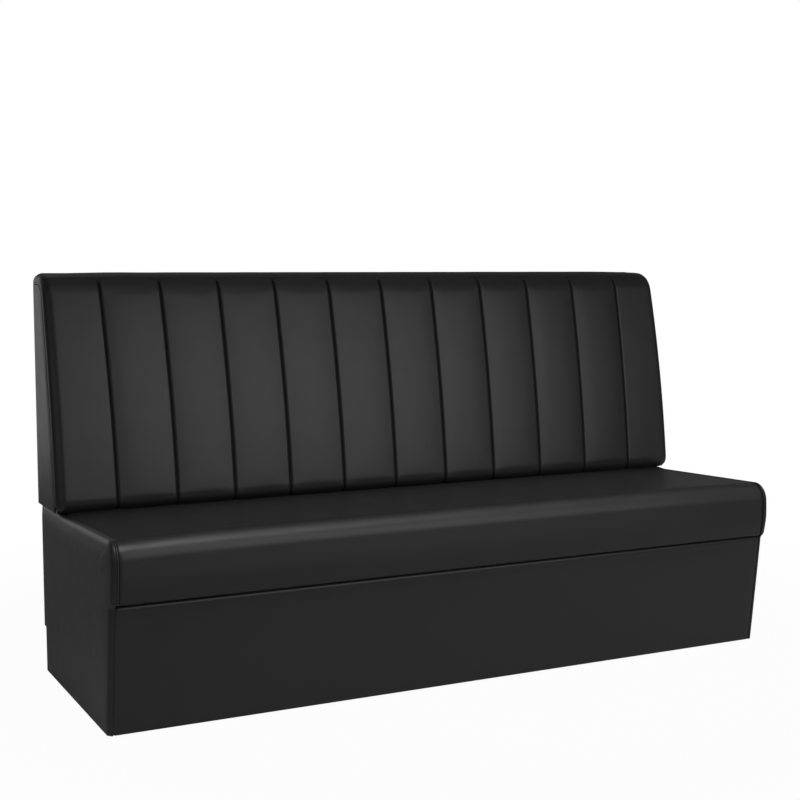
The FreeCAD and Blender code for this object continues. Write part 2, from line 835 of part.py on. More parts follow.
def make_back_boards():
    """Rails and boards that tie the back's frames together."""
    base = rail("back_bottom_rail", ("tuck_y", "frame_rear"), ("back_low", "back_base_top"), "frame_inner")
    first = "frame_inner + bolt_first"
    bolts = [(first, "bolt_front"), (first, "bolt_rear")]
    bore_row(base, bolts, "barrel_radius + bore_gap", "fixings", "bolt_pitch")
    node("back_bottom_rail", base)
    node("back_top_rail", along("back_top_rail", [
        ("board_top_y", "top_rail_low"),
        ("frame_rear", "top_rail_low"),
        ("frame_rear", "top_rail_top"),
        ("roll_corner", "top_rail_top", "roll_radius - back_soft"),
    ], "frame_out"))
    node("back_face_panel", along("back_face_panel", [
        ("board_foot_y", "board_foot_z"),
        ("foot_y", "foot_z", 0, "-frame_radius"),
        ("frame_top_y", "top_rail_low"),
        ("board_top_y", "top_rail_low", 0, "board_radius"),
    ], "frame_out"))
    node("back_rear_panel", box("back_rear_panel", ("-frame_out", "frame_out"),
                                ("frame_rear", "rear_wood"), ("back_low", "top_rail_top")))


# Back, soft


def cord_section(across, drop):
    """Round section of a piping cord, below the crown line."""
    line = Part.makeCircle(size["piping_radius"], vector(across, 0, -drop), vector(0, 1, 0))
    return Part.Face(Part.Wire(line))


def channel_half(centre, low, gap):
    """Left half of a channel, from its groove to its crown."""
    half = at["channel_wide"] / 2 - gap
    steep = math.radians(size["shoulder_angle"])
    small = size["shoulder_radius"]
    arm = half - small * math.sin(steep)
    sink = size["groove_deep"] + small * math.cos(steep)
    crown = (arm ** 2 + sink ** 2 - small ** 2) / (2 * (sink - small))
    tilt = math.degrees(math.atan2(crown - sink, arm))
    shoulder = bend((centre - arm, -sink - low), small, 90 - size["shoulder_angle"], tilt)
    return [shoulder, bend((centre, -crown - low), crown, tilt, 90)]


def edge_round(low):
    """Flat and quarter turn at the back's right end."""
    corner = at["half"] - at["end_round"]
    centre = half_channel_x(size["channels"] - 1), -low
    quarter = bend((corner, -at["end_round"]), at["end_round"] - low, 90, 180)
    return [(centre, None, quarter[0]), quarter]


def half_channel_x(number):
    """Middle of a numbered channel, counted from the left."""
    return at["channel_wide"] * (number + 1 / 2) - at["half"]


def channel_edges(number, low, gap):
    """Surface of one channel; the outermost ones turn round the back's ends."""
    centre = half_channel_x(number)
    left = channel_half(centre, low, gap)
    if number == size["channels"] - 1:
        return left + edge_round(low)
    right = [tuple((2 * centre - spot[0], spot[1]) for spot in edge) for edge in reverse(left)]
    return left + right


def pad_section(number):
    """Section of one channel's filling, on the right-hand half of the back."""
    low, gap = size["cover_thick"] + size["soft_gap"], size["soft_gap"]
    base = size["cover_thick"] + size["channel_rise"]
    edges = channel_edges(number, low, gap)
    under = (edges[0][0][0], -base)
    if number == size["channels"] - 1:
        corner = at["half"] - at["end_round"], -at["end_round"]
        quarter = bend(corner, at["end_round"] - base, 180, 90)
        return edges + [quarter, (quarter[2], None, under)]
    return edges + [((edges[-1][2][0], -base), None, under)]


def smooth_section(top, base):
    """Section of a smooth layer between two depths, turned down at both ends."""
    outer, inner = edge_round(top), edge_round(base)
    return flip(outer) + outer + reverse(inner) + reverse(flip(inner))


def foam_section(top):
    """Section of a flat slab with rounded upper ends."""
    return flip(edge_round(top)) + edge_round(top)


def face_of(edges):
    """Face inside closed edges, in the upright plane."""
    return Part.Face(ring(edges, upright))


def make_back_pads():
    """Filling of each sewn channel."""
    last = int(size["channels"])
    for number in range(last // 2, last):
        section = face_of(pad_section(number))
        right = back_stages(section, ("tuck", "face", "border"))
        left = right.mirror(vector(0, 0, 0), vector(1, 0, 0))
        node(f"channel_pad_{number + 1:02d}", held(f"channel_pad_{number + 1:02d}", right))
        node(f"channel_pad_{last - number:02d}", held(f"channel_pad_{last - number:02d}", left))


def make_back_layers():
    """Foam slab round the frame, and the padding along the top."""
    cover, rise, gap = size["cover_thick"], size["channel_rise"], size["soft_gap"]
    slab_face = face_of(foam_section(cover + rise + gap))
    whole = ("tuck", "face", "border", "roll")
    node("back_foam", held("back_foam", back_stages(slab_face, whole, at["rear_wood"])))
    strip = face_of(smooth_section(cover + gap, cover + rise))
    node("back_top_padding", held("back_top_padding", back_stages(strip, ("roll",), at["rear_wood"])))


def make_back_covers():
    """Channelled cover of the face, smooth cover of the top."""
    last = int(size["channels"])
    outer, inner = [], []
    for number in range(last // 2, last):
        outer += channel_edges(number, 0, 0)
        inner += channel_edges(number, size["cover_thick"], 0)
    ring_edges = flip(outer) + outer + reverse(inner) + reverse(flip(inner))
    channelled = back_stages(face_of(ring_edges), ("tuck", "face", "border"))
    node("back_face_cover", held("back_face_cover", channelled))
    sheet_face = face_of(smooth_section(0, size["cover_thick"]))
    node("back_top_cover", held("back_top_cover", back_stages(sheet_face, ("roll",), at["rear"])))


def make_back_ends():
    """Padding, cover and piping at the back's ends, and the cover of its rear."""
    padding = slab("back_end_padding_right", back_outline("rear_wood"), "padding_thick")
    move(padding, x="frame_out")
    pair("back_end_padding", padding)
    cover = slab("back_end_cover_right", back_outline("rear"), "cover_thick")
    move(cover, x="half - cover_thick")
    pair("back_end_cover", cover)
    cord = cord_section(at["half"] - size["piping_radius"], at["back_soft"] + at["seam_band"] / 2)
    path = back_stages(cord, ("tuck", "face", "border", "roll"), at["rear_wood"])
    pair("back_piping", held("back_piping_right", path))


def make_back_rear_cover():
    """Cover of the back's rear, rounded like the top cover over it."""
    edge, top = "half - cover_thick - soft_gap", "bench_height - cover_thick - soft_gap"
    rounding = "end_round - cover_thick - soft_gap"
    cover = slab("back_rear_cover", [
        (f"-({edge})", "back_low"),
        (edge, "back_low"),
        (edge, top, rounding),
        (f"-({edge})", top, rounding),
    ], "cover_thick", "XZ_Plane")
    move(cover, y="rear")
    node("back_rear_cover", cover)


# Fixings


def make_glides():
    """Glides under the bottom rails, each with a stem."""
    body = start_body("floor_glides")
    centres = [("glide_first", "glide_front"), ("glide_first", "glide_rear")]
    foot, stem = sketch_on(body, "XY_Plane"), sketch_on(body, "XY_Plane")
    draw_circles(foot, centres, "glide_radius")
    draw_circles(stem, centres, "stem_radius")
    features = [pad(body, foot, "glide_high"), pad(body, stem, "glide_high + stem_long")]
    repeat(body, foot, features, "fixings", "glide_pitch")
    node("floor_glides", body)


def lifted(body, up, draw_on):
    """Start a level sketch at a height."""
    sketch = sketch_on(body, "XY_Plane")
    sketch.setExpression("AttachmentOffset.Base.z", linked(up))
    draw_on(sketch)
    return sketch


def hexagon(centre):
    """Corners of a bolt head."""
    across, up = centre
    return [
        (f"{across} + head_radius * cos({turn})", f"{up} + head_radius * sin({turn})")
        for turn in range(0, 360, 60)
    ]


def make_bolts():
    """Flanged bolts up through the plinth's rails into the back."""
    body = start_body("back_bolts")
    centres = [("bolt_first", "bolt_front"), ("bolt_first", "bolt_rear")]

    def heads(sketch):
        for centre in centres:
            draw(sketch, hexagon(centre))

    flange_low = "bolt_rail_low - flange_thick"
    head = lifted(body, f"{flange_low} - head_high", heads)
    flange = lifted(body, flange_low, lambda s: draw_circles(s, centres, "flange_radius"))
    shank = lifted(body, flange_low, lambda s: draw_circles(s, centres, "bolt_radius"))
    features = [
        pad(body, head, "head_high"),
        pad(body, flange, "flange_thick"),
        pad(body, shank, "flange_thick + bolt_long"),
    ]
    repeat(body, head, features, "fixings", "bolt_pitch")
    node("back_bolts", body)


def make_tee_nuts():
    """Tee nuts pressed into the back's bottom rail."""
    body = start_body("tee_nuts")
    centres = [("bolt_first", "bolt_front"), ("bolt_first", "bolt_rear")]
    barrel_low = "back_base_top - barrel_long"
    flange = lifted(body, "back_base_top", lambda s: draw_circles(s, centres, "flange_radius"))
    barrel = lifted(body, barrel_low, lambda s: draw_circles(s, centres, "barrel_radius"))
    bore = lifted(body, barrel_low, lambda s: draw_circles(s, centres, "bolt_radius + bore_gap"))
    features = [
        pad(body, flange, "flange_thick"),
        pad(body, barrel, "barrel_long"),
        cut_through(body, bore),
    ]
    repeat(body, flange, features, "fixings", "bolt_pitch")
    node("tee_nuts", body)


def write_nodes():
    """Check every object and write each sub-part."""
    doc.recompute()
    for item in doc.Objects:
        if {"Invalid", "Error"} & set(item.State):
            raise ValueError(f"{item.Name}: {item.State}")
    os.makedirs("parts", exist_ok=True)
    for item in nodes:
        if item.Shape.isNull() or not item.Shape.isValid() or not item.Shape.Solids:
            raise ValueError(f"{item.Label} has no sound shape")
        item.Shape.exportStep(f"parts/{item.Label}.step")


size = fill_sheet()
at = fill_places()
end_panel = make_end_panels()
make_front_panel()
make_front_rails()
make_rear_boards()
make_rear_rails()
make_ribs()
make_deck()
make_end_covers(end_panel)
make_front_covers()
make_rear_covers()
make_seat()
make_back_frames()
make_back_boards()
make_back_pads()
make_back_layers()
make_back_covers()
make_back_ends()
make_back_rear_cover()
make_glides()
make_bolts()
make_tee_nuts()
write_nodes()
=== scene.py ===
import json
import math

import bpy
import numpy as np
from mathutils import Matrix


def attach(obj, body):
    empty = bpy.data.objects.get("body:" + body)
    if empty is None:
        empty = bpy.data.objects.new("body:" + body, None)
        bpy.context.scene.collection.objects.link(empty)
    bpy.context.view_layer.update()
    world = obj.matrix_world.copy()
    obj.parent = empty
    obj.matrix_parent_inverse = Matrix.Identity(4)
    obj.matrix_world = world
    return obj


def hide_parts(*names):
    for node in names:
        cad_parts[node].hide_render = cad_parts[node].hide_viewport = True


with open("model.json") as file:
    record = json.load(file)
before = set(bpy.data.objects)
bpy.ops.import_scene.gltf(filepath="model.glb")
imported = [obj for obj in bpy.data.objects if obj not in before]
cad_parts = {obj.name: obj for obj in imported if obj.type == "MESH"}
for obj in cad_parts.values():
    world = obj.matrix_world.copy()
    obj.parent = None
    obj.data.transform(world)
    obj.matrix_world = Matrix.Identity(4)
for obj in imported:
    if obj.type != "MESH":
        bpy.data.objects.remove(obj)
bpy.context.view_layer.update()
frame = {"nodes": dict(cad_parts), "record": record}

# Dresses the CAD bench: sewn vinyl covers, fillings, timber, light and camera.
# Shapes are worked out in millimetres, in the CAD's frame, and written in metres.

SCENE = bpy.context.scene
MM = 0.001
SHARP = 38

# Bench
HALF = 900.0
REAR = 320.0
FRONT = -320.0
TOP = 1000.0
COVER = 1.2
GAP = 0.3

# Plinth ends and front
LIP_X = 880.0
END_X = 892.0
EDGE_ROUND = 11.0
HIDDEN_ROUND = 2.0
SIDE_BULGE = 1.2
SHOULDER = 5.0
SHOULDER_WIDE = 14.0
SHOULDER_RUN = 60
GLIDE_HIGH = 3.0
JOINT = (-299.0, 295.0)
TOE = (-265.5, 3.0)
TOE_R = 2.5
NOSE_LOW = 345.0
UNDER = (-310.0, 301.0)
HOLLOW = (-298.31, 289.0)
HOLLOW_R, BELLY_R, BEND_R = 6.0, 250.0, 8.0
REAR_TOP = 426.3
RISE_Y, RISE_LONG, RISE_R = 118.0, 40.0, 80.0
RECESS_Y, RECESS_Z = 302.0, 115.0
LIP_R = 7.0
WRAP = 25.0
END_WADDING = 2.2
FRONT_WADDING = (COVER + 2.2, 6.0)
PLINTH_MIDDLE = np.array([20.0, 200.0])

# How an end cover turns in behind its lip, where it shows and where it is hidden: rows of back and in
LIP_TURN = ((4.4, 5.9), (0.1, 4.7), (0.0, 1.2), (-0.5, 0.0))
HIDDEN_TURN = ((0.6, 1.2), (0.1, 1.0), (0.0, 0.6), (-0.5, 0.0))

# Seat
SEAT_HALF = 875.2
SEAT_HIGH = 438.0
TILT = 2.0
NOSE_R = 43.0
NOSE_TURN = 15.6
BELLY_TURN = 216.06
BELLY_HIGH = 360.57
UNDER_R = 8.0
SEAT_REAR = 145.0
CREASE_TOP = 426.2
CROWN = 5.0
DECK_TOP = 338.0
FOAM_HALF = 867.4
FOAM_FRONT = -295.6
FOAM_RISE_FROM, FOAM_RISE_RUN = 30, 60

# Back
TUCK = (150.0, 459.0)
TUCK_R = 32.0
ROLL_R = 70.0
LOW, HIGH, SEAM = 6.0, 14.5, 52.0
TUCK_SQUARE = 2.5
END_ROUND = 24.4
CHANNELS = 12
CHANNEL = 150.0
GROOVE = 6.0
GROOVE_WIDE = 4.6
CHANNEL_CROWN = 1.3
RISE = 7.5
SOFT = 24.7
INSET = 29.7
BACK_LOW = 427.0
PIPING_R = 2.2
DROOP = 4.0
FILL_ROOM = 1.0
SEAM_SHARP = 50
FACE_PARTS = ("tuck", "face", "border")
BAND_PARTS = ("roll", "flat")
BACK_MIDDLE = np.array([250.0, 700.0])

# How the back's end cover and its wadding turn in behind the end: rows of back and in
BACK_TURN = ((6.2, 0.9), (5.8, 0.3), (5.0, 0))
BACK_WADDING_TURN = ((5.8, 0.6), (5.4, 0))
BACK_WADDING, BACK_WADDING_IN = 2.0, 1.8

# Spread of the channels: at the turn under the back, then by the height over it and by its square
FAN = (2.6, 0.0085, 0.000024)

# Stitches down in the seams
STITCH_LONG, STITCH_PITCH, STITCH_R = 4.2, 5.6, 0.55
STITCH_START, STITCH_FREE, STITCH_UP = 4, 18, 0.9

# Rings of the end panels: how far in beside the edge, then shares of the way from the middle
RING_INSETS = (0, 0.25, 0.6, 1.1, 1.8, 2.8, 4.0, 5.6, 7.5)
RING_SHARES = np.hstack([(0.987, 0.972, 0.955, 0.93, 0.9), np.linspace(0.86, 0.02, 26)])
EDGE_THICK = (0.3, 0.4, 0.7)
BEND_STEP, RUN_STEP, REAR_STEP, EDGE_STEP = 2.5, 9.0, 12.0, 1.0

# Cloth simulation, and each cover's pressure with the most that it may rise
FRAMES = 20
EVEN_ROUNDS = 8
SEAM_HELD = 6
FACE_PUFF = (4.0, 2.6)
SEAT_PUFF = (4.0, 2.5)
FRONT_PUFF = (2.0, 1.5)
END_PUFF = (2.0, 1.6)

# Slow waves of the covers: rows of seed, height and length
FACE_WAVES = ((4, 0.45, 170),)
BAND_WAVES = ((6, 0.35, 140),)
SEAT_WAVES = ((8, 0.7, 260), (9, 0.25, 90))
FRONT_WAVES = ((31, 0.6, 240), (32, 0.2, 80))

# Heights between which the bare timber is painted black as shade in the joint under the back, in metres
JOINT_SHADE_FROM, JOINT_SHADE_TO = (0.402, 0.406), (0.430, 0.434)

# Camera, from a fit to the photograph's edges
CAMERA_AT = (-1.6657, -3.1780, 1.0086)
CAMERA_YAW, CAMERA_PITCH, CAMERA_ROLL = 26.957, 5.341, 0.033
FOCAL_PIXELS, IMAGE_PIXELS, SENSOR = 1403.74, 800, 36.0


# Meshes


def add_piece(name, points, faces, slot, sharp=SHARP, look=None):
    """Make an object from points in millimetres, riding on the part's one body."""
    mesh = bpy.data.meshes.new(name)
    mesh.from_pydata([tuple(p) for p in np.asarray(points) * MM], [], faces)
    mesh.validate()
    mesh.shade_smooth()
    mesh.set_sharp_from_angle(angle=math.radians(sharp))
    piece = bpy.data.objects.new(name, mesh)
    SCENE.collection.objects.link(piece)
    mesh.materials.append(look or LOOKS[slot])
    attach(piece, "root")
    return piece


def stand_in(piece, node):
    """Hide a CAD node, for which a padded piece stands."""
    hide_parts(node)


def grid_faces(rows, columns, closed=False, start=0, flip=False):
    """Quads of a grid of points that are counted row by row."""
    faces = []
    for a in range(start, start + (rows - 1) * columns, columns):
        for c in range(columns if closed else columns - 1):
            d = (c + 1) % columns
            quad = (a + c, a + d, a + columns + d, a + columns + c)
            faces.append(quad[::-1] if flip else quad)
    return faces


def tube_faces(rows, columns, start=0, flip=False):
    """Faces of closed loops of points, with both ends capped."""
    last = start + (rows - 1) * columns
    faces = grid_faces(rows, columns, True, start, flip)
    for cap in (range(start, start + columns)[::-1], range(last, last + columns)):
        faces.append(tuple(cap[::-1] if flip else cap))
    return faces


def ripple(a, b, seed, reach, waves=5):
    """Smooth wandering between -1 and 1 over a surface, with waves about reach long."""
    random = np.random.RandomState(seed)
    total = np.zeros(np.broadcast(a, b).shape)
    for _ in range(waves):
        turn = random.uniform(0, 2 * math.pi)
        long = reach * random.uniform(0.7, 1.6)
        phase = random.uniform(0, 2 * math.pi)
        total = total + np.sin(2 * math.pi * (a * math.cos(turn) + b * math.sin(turn)) / long + phase)
    return total / waves


# Paths across the depth: each row is y, z, the outward normal's y and z, and the way along


def arc_rows(centre, radius, start, end, count):
    """Rows along a bend; angle 0 faces the sitter and 90 faces up."""
    angles = np.radians(np.linspace(start, end, count))
    normal = np.stack([-np.cos(angles), np.sin(angles)], axis=1)
    return np.hstack([np.asarray(centre) + radius * normal, normal])


def line_rows(start, end, angle, count):
    """Rows along a straight run, without its own ends."""
    share = np.linspace(0, 1, count + 2)[1:-1, None]
    spots = (1 - share) * np.asarray(start) + share * np.asarray(end)
    normal = (-math.cos(math.radians(angle)), math.sin(math.radians(angle)))
    return np.hstack([spots, np.tile(normal, (count, 1))])


def join(*parts):
    """Join runs of rows, drop doubled rows and add the distance along them."""
    rows = np.vstack(parts)
    step = np.hypot(*np.diff(rows[:, :2], axis=0).T)
    return with_way(rows[np.hstack([[True], step > 0.01])])


def with_way(rows):
    """Rows with the distance along them."""
    way = np.hstack([[0], np.cumsum(np.hypot(*np.diff(rows[:, :2], axis=0).T))])
    return np.hstack([rows, way[:, None]])


def back_shape():
    """Centres and radius of the back's long bend and of the roll over it."""
    low, high = math.radians(LOW), math.radians(HIGH)
    foot = TUCK[1] + TUCK_R * math.sin(low)
    head = TOP - ROLL_R * (1 - math.sin(high))
    radius = (head - foot) / (math.sin(high) - math.sin(low))
    face = (TUCK[0] + (radius - TUCK_R) * math.cos(low), TUCK[1] - (radius - TUCK_R) * math.sin(low))
    roll = (face[0] - (radius - ROLL_R) * math.cos(high), TOP - ROLL_R)
    return face, radius, roll


FACE, FACE_R, ROLL = back_shape()


def back_path(parts):
    """Path of the back's surface along named parts."""
    known = {
        "tuck": tuck_rows(26),
        "face": arc_rows(FACE, FACE_R, LOW, HIGH, 64),
        "border": arc_rows(ROLL, ROLL_R, HIGH, SEAM, 24),
        "roll": arc_rows(ROLL, ROLL_R, SEAM, 90, 22),
        "flat": line_rows((ROLL[0], TOP), (REAR + COVER, TOP), 90, 16),
    }
    return join(*[known[part] for part in parts])


def tuck_rows(count):
    """Rows of the turn under the back, pressed a little square where it sits on the seat."""
    rows = arc_rows(TUCK, TUCK_R, -90, LOW, count)
    away = rows[:, :2] - np.asarray(TUCK)
    share = np.abs(away) / TUCK_R
    stretch = 1 / np.sum(share ** TUCK_SQUARE, axis=1) ** (1 / TUCK_SQUARE)
    stretch = np.minimum(stretch, 1 + (stretch - 1) * fade(-rows[:, 3], math.sin(math.radians(20))))
    rows[:, :2] = np.asarray(TUCK) + away * stretch[:, None]
    along = np.gradient(rows[:, :2], axis=0)
    along = along / np.linalg.norm(along, axis=1)[:, None]
    rows[1:-1, 2], rows[1:-1, 3] = -along[1:-1, 1], along[1:-1, 0]
    return rows


def seat_path(inset=0.0):
    """Path of the seat's surface, from its joint over the nose to its rear edge."""
    belly = (FRONT + BELLY_TURN, BELLY_HIGH)
    tilt = math.radians(TILT)
    nose_z = SEAT_HIGH - math.tan(tilt) * NOSE_R - NOSE_R / math.cos(tilt)
    nose = (FRONT + NOSE_R, nose_z)
    start = arc_rows(belly, BELLY_TURN - UNDER_R, -NOSE_TURN, 0, 2)[0, :2]
    nose_rows = arc_rows(nose, NOSE_R, 0, 90 + TILT, 26)
    end_z = nose_rows[-1, 1] - math.tan(tilt) * (SEAT_REAR - nose_rows[-1, 0])
    rows = join(
        arc_rows(start, UNDER_R, -100, -NOSE_TURN, 11),
        arc_rows(belly, BELLY_TURN, -NOSE_TURN, 0, 16),
        line_rows((FRONT, BELLY_HIGH), (FRONT, nose_z), 0, 4),
        nose_rows,
        line_rows(nose_rows[-1, :2], (SEAT_REAR - 3, end_z), 90 + TILT, 60),
        arc_rows((SEAT_REAR - 3, end_z - 3), 3, 90 + TILT, 180, 6),
    )
    rows[:, :2] -= inset * rows[:, 2:4]
    return rows


def before_rear(path):
    """Rows of a path that lie in front of the rear cover."""
    return path[path[:, 0] < REAR - COVER]


def sweep(name, loop, path, slot, shape=None, lift=None, sharp=SHARP):
    """Carry a closed section of x and depth along a path; lift may change its points."""
    x = np.tile(loop[:, 0], (len(path), 1))
    depth = np.tile(loop[:, 1], (len(path), 1))
    way = np.tile(path[:, 4:5], (1, len(loop)))
    if shape:
        depth = shape(x, depth, way, path[-1, 4])
    y = path[:, 0:1] - depth * path[:, 2:3]
    z = path[:, 1:2] - depth * path[:, 3:4]
    points = np.stack([x, y, z], axis=2)
    if lift:
        points = lift(points)
    return add_piece(name, points.reshape(-1, 3), tube_faces(*x.shape, flip=True), slot, sharp)


def inflate(grid, pins, pressure, cap, closed=False):
    """Blow a pinned sheet up with a cloth simulation; how far its points rose along its normals."""
    rows, columns = grid.shape[:2]
    mesh = bpy.data.meshes.new("trial")
    faces = grid_faces(rows, columns, closed)
    mesh.from_pydata((grid.reshape(-1, 3) * MM).tolist(), [], faces)
    trial = bpy.data.objects.new("trial", mesh)
    SCENE.collection.objects.link(trial)
    group = trial.vertex_groups.new(name="pins")
    group.add(np.flatnonzero(pins).tolist(), 1.0, "REPLACE")
    cloth = trial.modifiers.new("cloth", "CLOTH")
    cloth.settings.use_pressure = True
    cloth.settings.uniform_pressure_force = pressure
    cloth.settings.vertex_group_mass = "pins"
    cloth.settings.effector_weights.gravity = 0
    cloth.point_cache.frame_start, cloth.point_cache.frame_end = 1, FRAMES
    for moment in range(1, FRAMES + 1):
        SCENE.frame_set(moment)
    settled = trial.evaluated_get(bpy.context.evaluated_depsgraph_get()).data
    spots = np.empty(3 * rows * columns, np.float32)
    settled.vertices.foreach_get("co", spots)
    moved = spots.reshape(grid.shape) / MM - grid
    bpy.data.objects.remove(trial)
    bpy.data.meshes.remove(mesh)
    SCENE.frame_set(1)
    normal = ring_normals(grid)
    if not closed:
        normal[:, 0], normal[:, -1] = normal[:, 1], normal[:, -2]
    rise = np.sum(moved * normal, axis=2, keepdims=True)
    print(f"cloth rise in mm: {rise.min():.2f} to {rise.max():.2f}")
    rise = np.clip(rise, 0, cap)
    for _ in range(EVEN_ROUNDS):
        rise = np.where(pins[..., None], 0, even_out(rise, closed))
    return normal * rise


def even_out(values, closed):
    """A grid of values, each drawn half way to the mean of its neighbours."""
    before, after = np.roll(values, 1, axis=1), np.roll(values, -1, axis=1)
    if not closed:
        before[:, 0], after[:, -1] = values[:, 0], values[:, -1]
    up, down = np.vstack([values[:1], values[:-1]]), np.vstack([values[1:], values[-1:]])
    return values / 2 + (before + after + up + down) / 8


def rim_pins(rows, columns):
    """Pins round the rim of a sheet."""
    pins = np.ones((rows, columns), bool)
    pins[1:-1, 1:-1] = False
    return pins


def blow_up(points, pressure, cap):
    """Move the outer and inner skin of a swept cover as its simulated outer skin moves."""
    half = points.shape[1] // 2
    outer = points[:, :half]
    moved = inflate(outer[::2, ::2], rim_pins(*outer[::2, ::2].shape[:2]), pressure, cap)
    moved = spread(moved, outer.shape[:2])
    points[:, :half] += moved
    points[:, half:] += moved[:, ::-1]
    return points


def spread(values, shape):
    """Fill a grid in between its every second row and column."""
    for axis in (1, 0):
        spots = np.arange(shape[axis]) / 2
        last = values.shape[axis] - 1
        low, high = [np.minimum(whole(spots).astype(int), last) for whole in (np.floor, np.ceil)]
        values = (np.take(values, low, axis) + np.take(values, high, axis)) / 2
    return values


# Sections across the back: rows of x and depth under the crown


def channel_columns():
    """Places across one channel, close together beside its seams."""
    near = np.array([0, 0.5, 1.1, 1.8, 2.7, 3.8, 5.4, 8, 12, 18, 27, 39, 56])
    left = near - CHANNEL / 2
    return np.hstack([left, [0], -left[::-1]])


def channel_depth(offset):
    """Depth under the crown at a place across a channel."""
    edge = CHANNEL / 2 - np.abs(offset)
    return groove_depth(edge) + CHANNEL_CROWN * np.abs(offset / (CHANNEL / 2)) ** 2.6


def groove_depth(edge):
    """Depth of a seam's groove at a distance from its middle."""
    return GROOVE * (1 - fade(edge, GROOVE_WIDE)) ** 1.15


def end_turn(top):
    """Quarter turn at the back's right end, for a surface top below the crown."""
    angle = np.radians(np.linspace(0, 90, 14))
    radius = END_ROUND - top
    across = HALF - END_ROUND + radius * np.sin(angle)
    return np.stack([across, END_ROUND - radius * np.cos(angle)], axis=1)


def mirror(rows):
    """The same rows on the left, in the other direction."""
    return np.hstack([-rows[::-1, 0:1], rows[::-1, 1:2]])


def channelled(top):
    """Right half of the channelled surface, from the middle seam outwards."""
    columns = channel_columns()
    rows = []
    for number in range(CHANNELS // 2):
        offset = columns[columns <= 0] if number == CHANNELS // 2 - 1 else columns
        places = np.stack([(number + 0.5) * CHANNEL + offset, channel_depth(offset) + top], axis=1)
        rows.append(places[min(number, 1):])
    rows.append(level(np.linspace(HALF - CHANNEL / 2, HALF - END_ROUND, 5)[1:-1], top))
    rows.append(end_turn(top))
    return np.vstack(rows)


def both_sides(rows):
    """A right half and its mirrored left half as one run from left to right."""
    return np.vstack([mirror(rows)[:-1], rows])


def smooth(top):
    """A smooth surface with turned ends."""
    flat = np.linspace(0, HALF - END_ROUND, 24)[:-1]
    return both_sides(np.vstack([level(flat, top), end_turn(top)]))


def level(columns, depth):
    """A flat surface at one depth."""
    return np.stack([columns, np.full(len(columns), depth)], axis=1)


def shell(outer, inner):
    """Closed section between two surfaces."""
    return np.vstack([outer, inner[::-1]])


def layer(columns, top, base):
    """Closed section of a flat layer between two depths."""
    return shell(level(columns, top), level(columns, base))


# Softness: small wandering of sewn and stretched covers


def fade(distance, reach):
    """0 at an edge, growing to 1 at its reach and beyond."""
    return np.clip(distance / reach, 0, 1)


def dip(distance, deep, reach):
    """Depth beside a seam or edge, which dies away with the distance."""
    return deep * np.exp(-distance / reach)


def beside_seam(x):
    """Distance from the nearest channel seam."""
    return CHANNEL / 2 - np.abs((x + HALF) % CHANNEL - CHANNEL / 2)


def waves(x, way, rows):
    """Slow waves over a cover."""
    return sum(high * ripple(x, way, seed, long) for seed, high, long in rows)


def puckers(x, way):
    """Short puckers beside the channel seams."""
    seed, high, reach, long, count, slant = 3, 0.32, 9, 15, 7, 0.2
    return dip(beside_seam(x), high, reach) * ripple(way, x * slant, seed, long, count)


def soften_face(x, depth, way, whole):
    """Seam, puckers and slow waves of the channelled face."""
    left = whole - way
    shut = (1 - fade(left - 1.5, 10)) * (np.abs(x) < HALF - CHANNEL / 2)
    depth = depth - shut * groove_depth(beside_seam(x))
    inside = (np.abs(x) < HALF - END_ROUND + 12) & (depth < RISE)
    wander = (puckers(x, way) + waves(x, way, FACE_WAVES)) * fade(left, 20)
    return depth + np.where(inside, wander, 0) + np.where(depth < END_ROUND - 2, dip(left, 0.5, 2.5), 0)


def soften_filling(x, depth, way, whole):
    """Fillings thin out where the seams cross them."""
    thin = 7.0 * (1 - fade(whole - way, 14))
    return np.minimum(depth + thin, np.maximum(depth, COVER + RISE - 0.3))


def soften_band(x, depth, way, whole):
    """Seams along both edges of the smooth top band, and its drooping ends."""
    seam = dip(way, 0.4, 2.5) + dip(whole - way, 1.0, 2.0)
    seam = np.where(depth < END_ROUND - 2, seam, 0)
    wander = np.where(np.abs(x) < HALF - END_ROUND, fade(way, 20) * waves(x, way, BAND_WAVES), 0)
    return depth + wander + seam + droop(x, depth, way)


def droop(x, depth, way):
    """How far the top falls towards the back's ends, above its wadding's underside."""
    share = fade(np.abs(x) - HALF + 160, 150) ** 1.5
    return DROOP * share * fade(way, 40) * (1 - fade(depth, COVER + RISE))


def soften_wadding(x, depth, way, whole):
    """Wadding under the drooping ends of the top band."""
    return depth + droop(x, depth, way)


def fan_out(points):
    """Spread the channels a little towards the top, as the sewn face is stretched there."""
    x, z = points[..., 0], points[..., 2]
    up = np.clip(z - TUCK[1], 0, None)
    inner, outer = HALF - CHANNEL, HALF
    share = np.where(np.abs(x) < inner, np.abs(x) / inner, (outer - np.abs(x)) / (outer - inner))
    points[..., 0] = x + np.sign(x) * np.clip(share, 0, 1) * (FAN[0] + FAN[1] * up + FAN[2] * up ** 2)
    return points


def seat_top(y):
    """Height of the seat's top at its ends."""
    return SEAT_HIGH - math.tan(math.radians(TILT)) * (y - FRONT)


def seat_rise(x):
    """Height of the seat's crown along the bench."""
    return CROWN * (1 - fade(np.abs(x), SEAT_HALF) ** 4)


def lift_seat(points):
    """Raise the crown with the nose under it, and the rear edge up to the back."""
    x, y, z = points[..., 0], points[..., 1], points[..., 2]
    z = z + seat_rise(x) * fade(z - BELLY_HIGH, SEAT_HIGH - NOSE_R - BELLY_HIGH)
    near = fade(y - SEAT_REAR + 36, 30)
    gap = np.clip(CREASE_TOP - seat_top(y) - seat_rise(x), 0, None)
    points[..., 2] = z + gap * near * near * (3 - 2 * near)
    return points


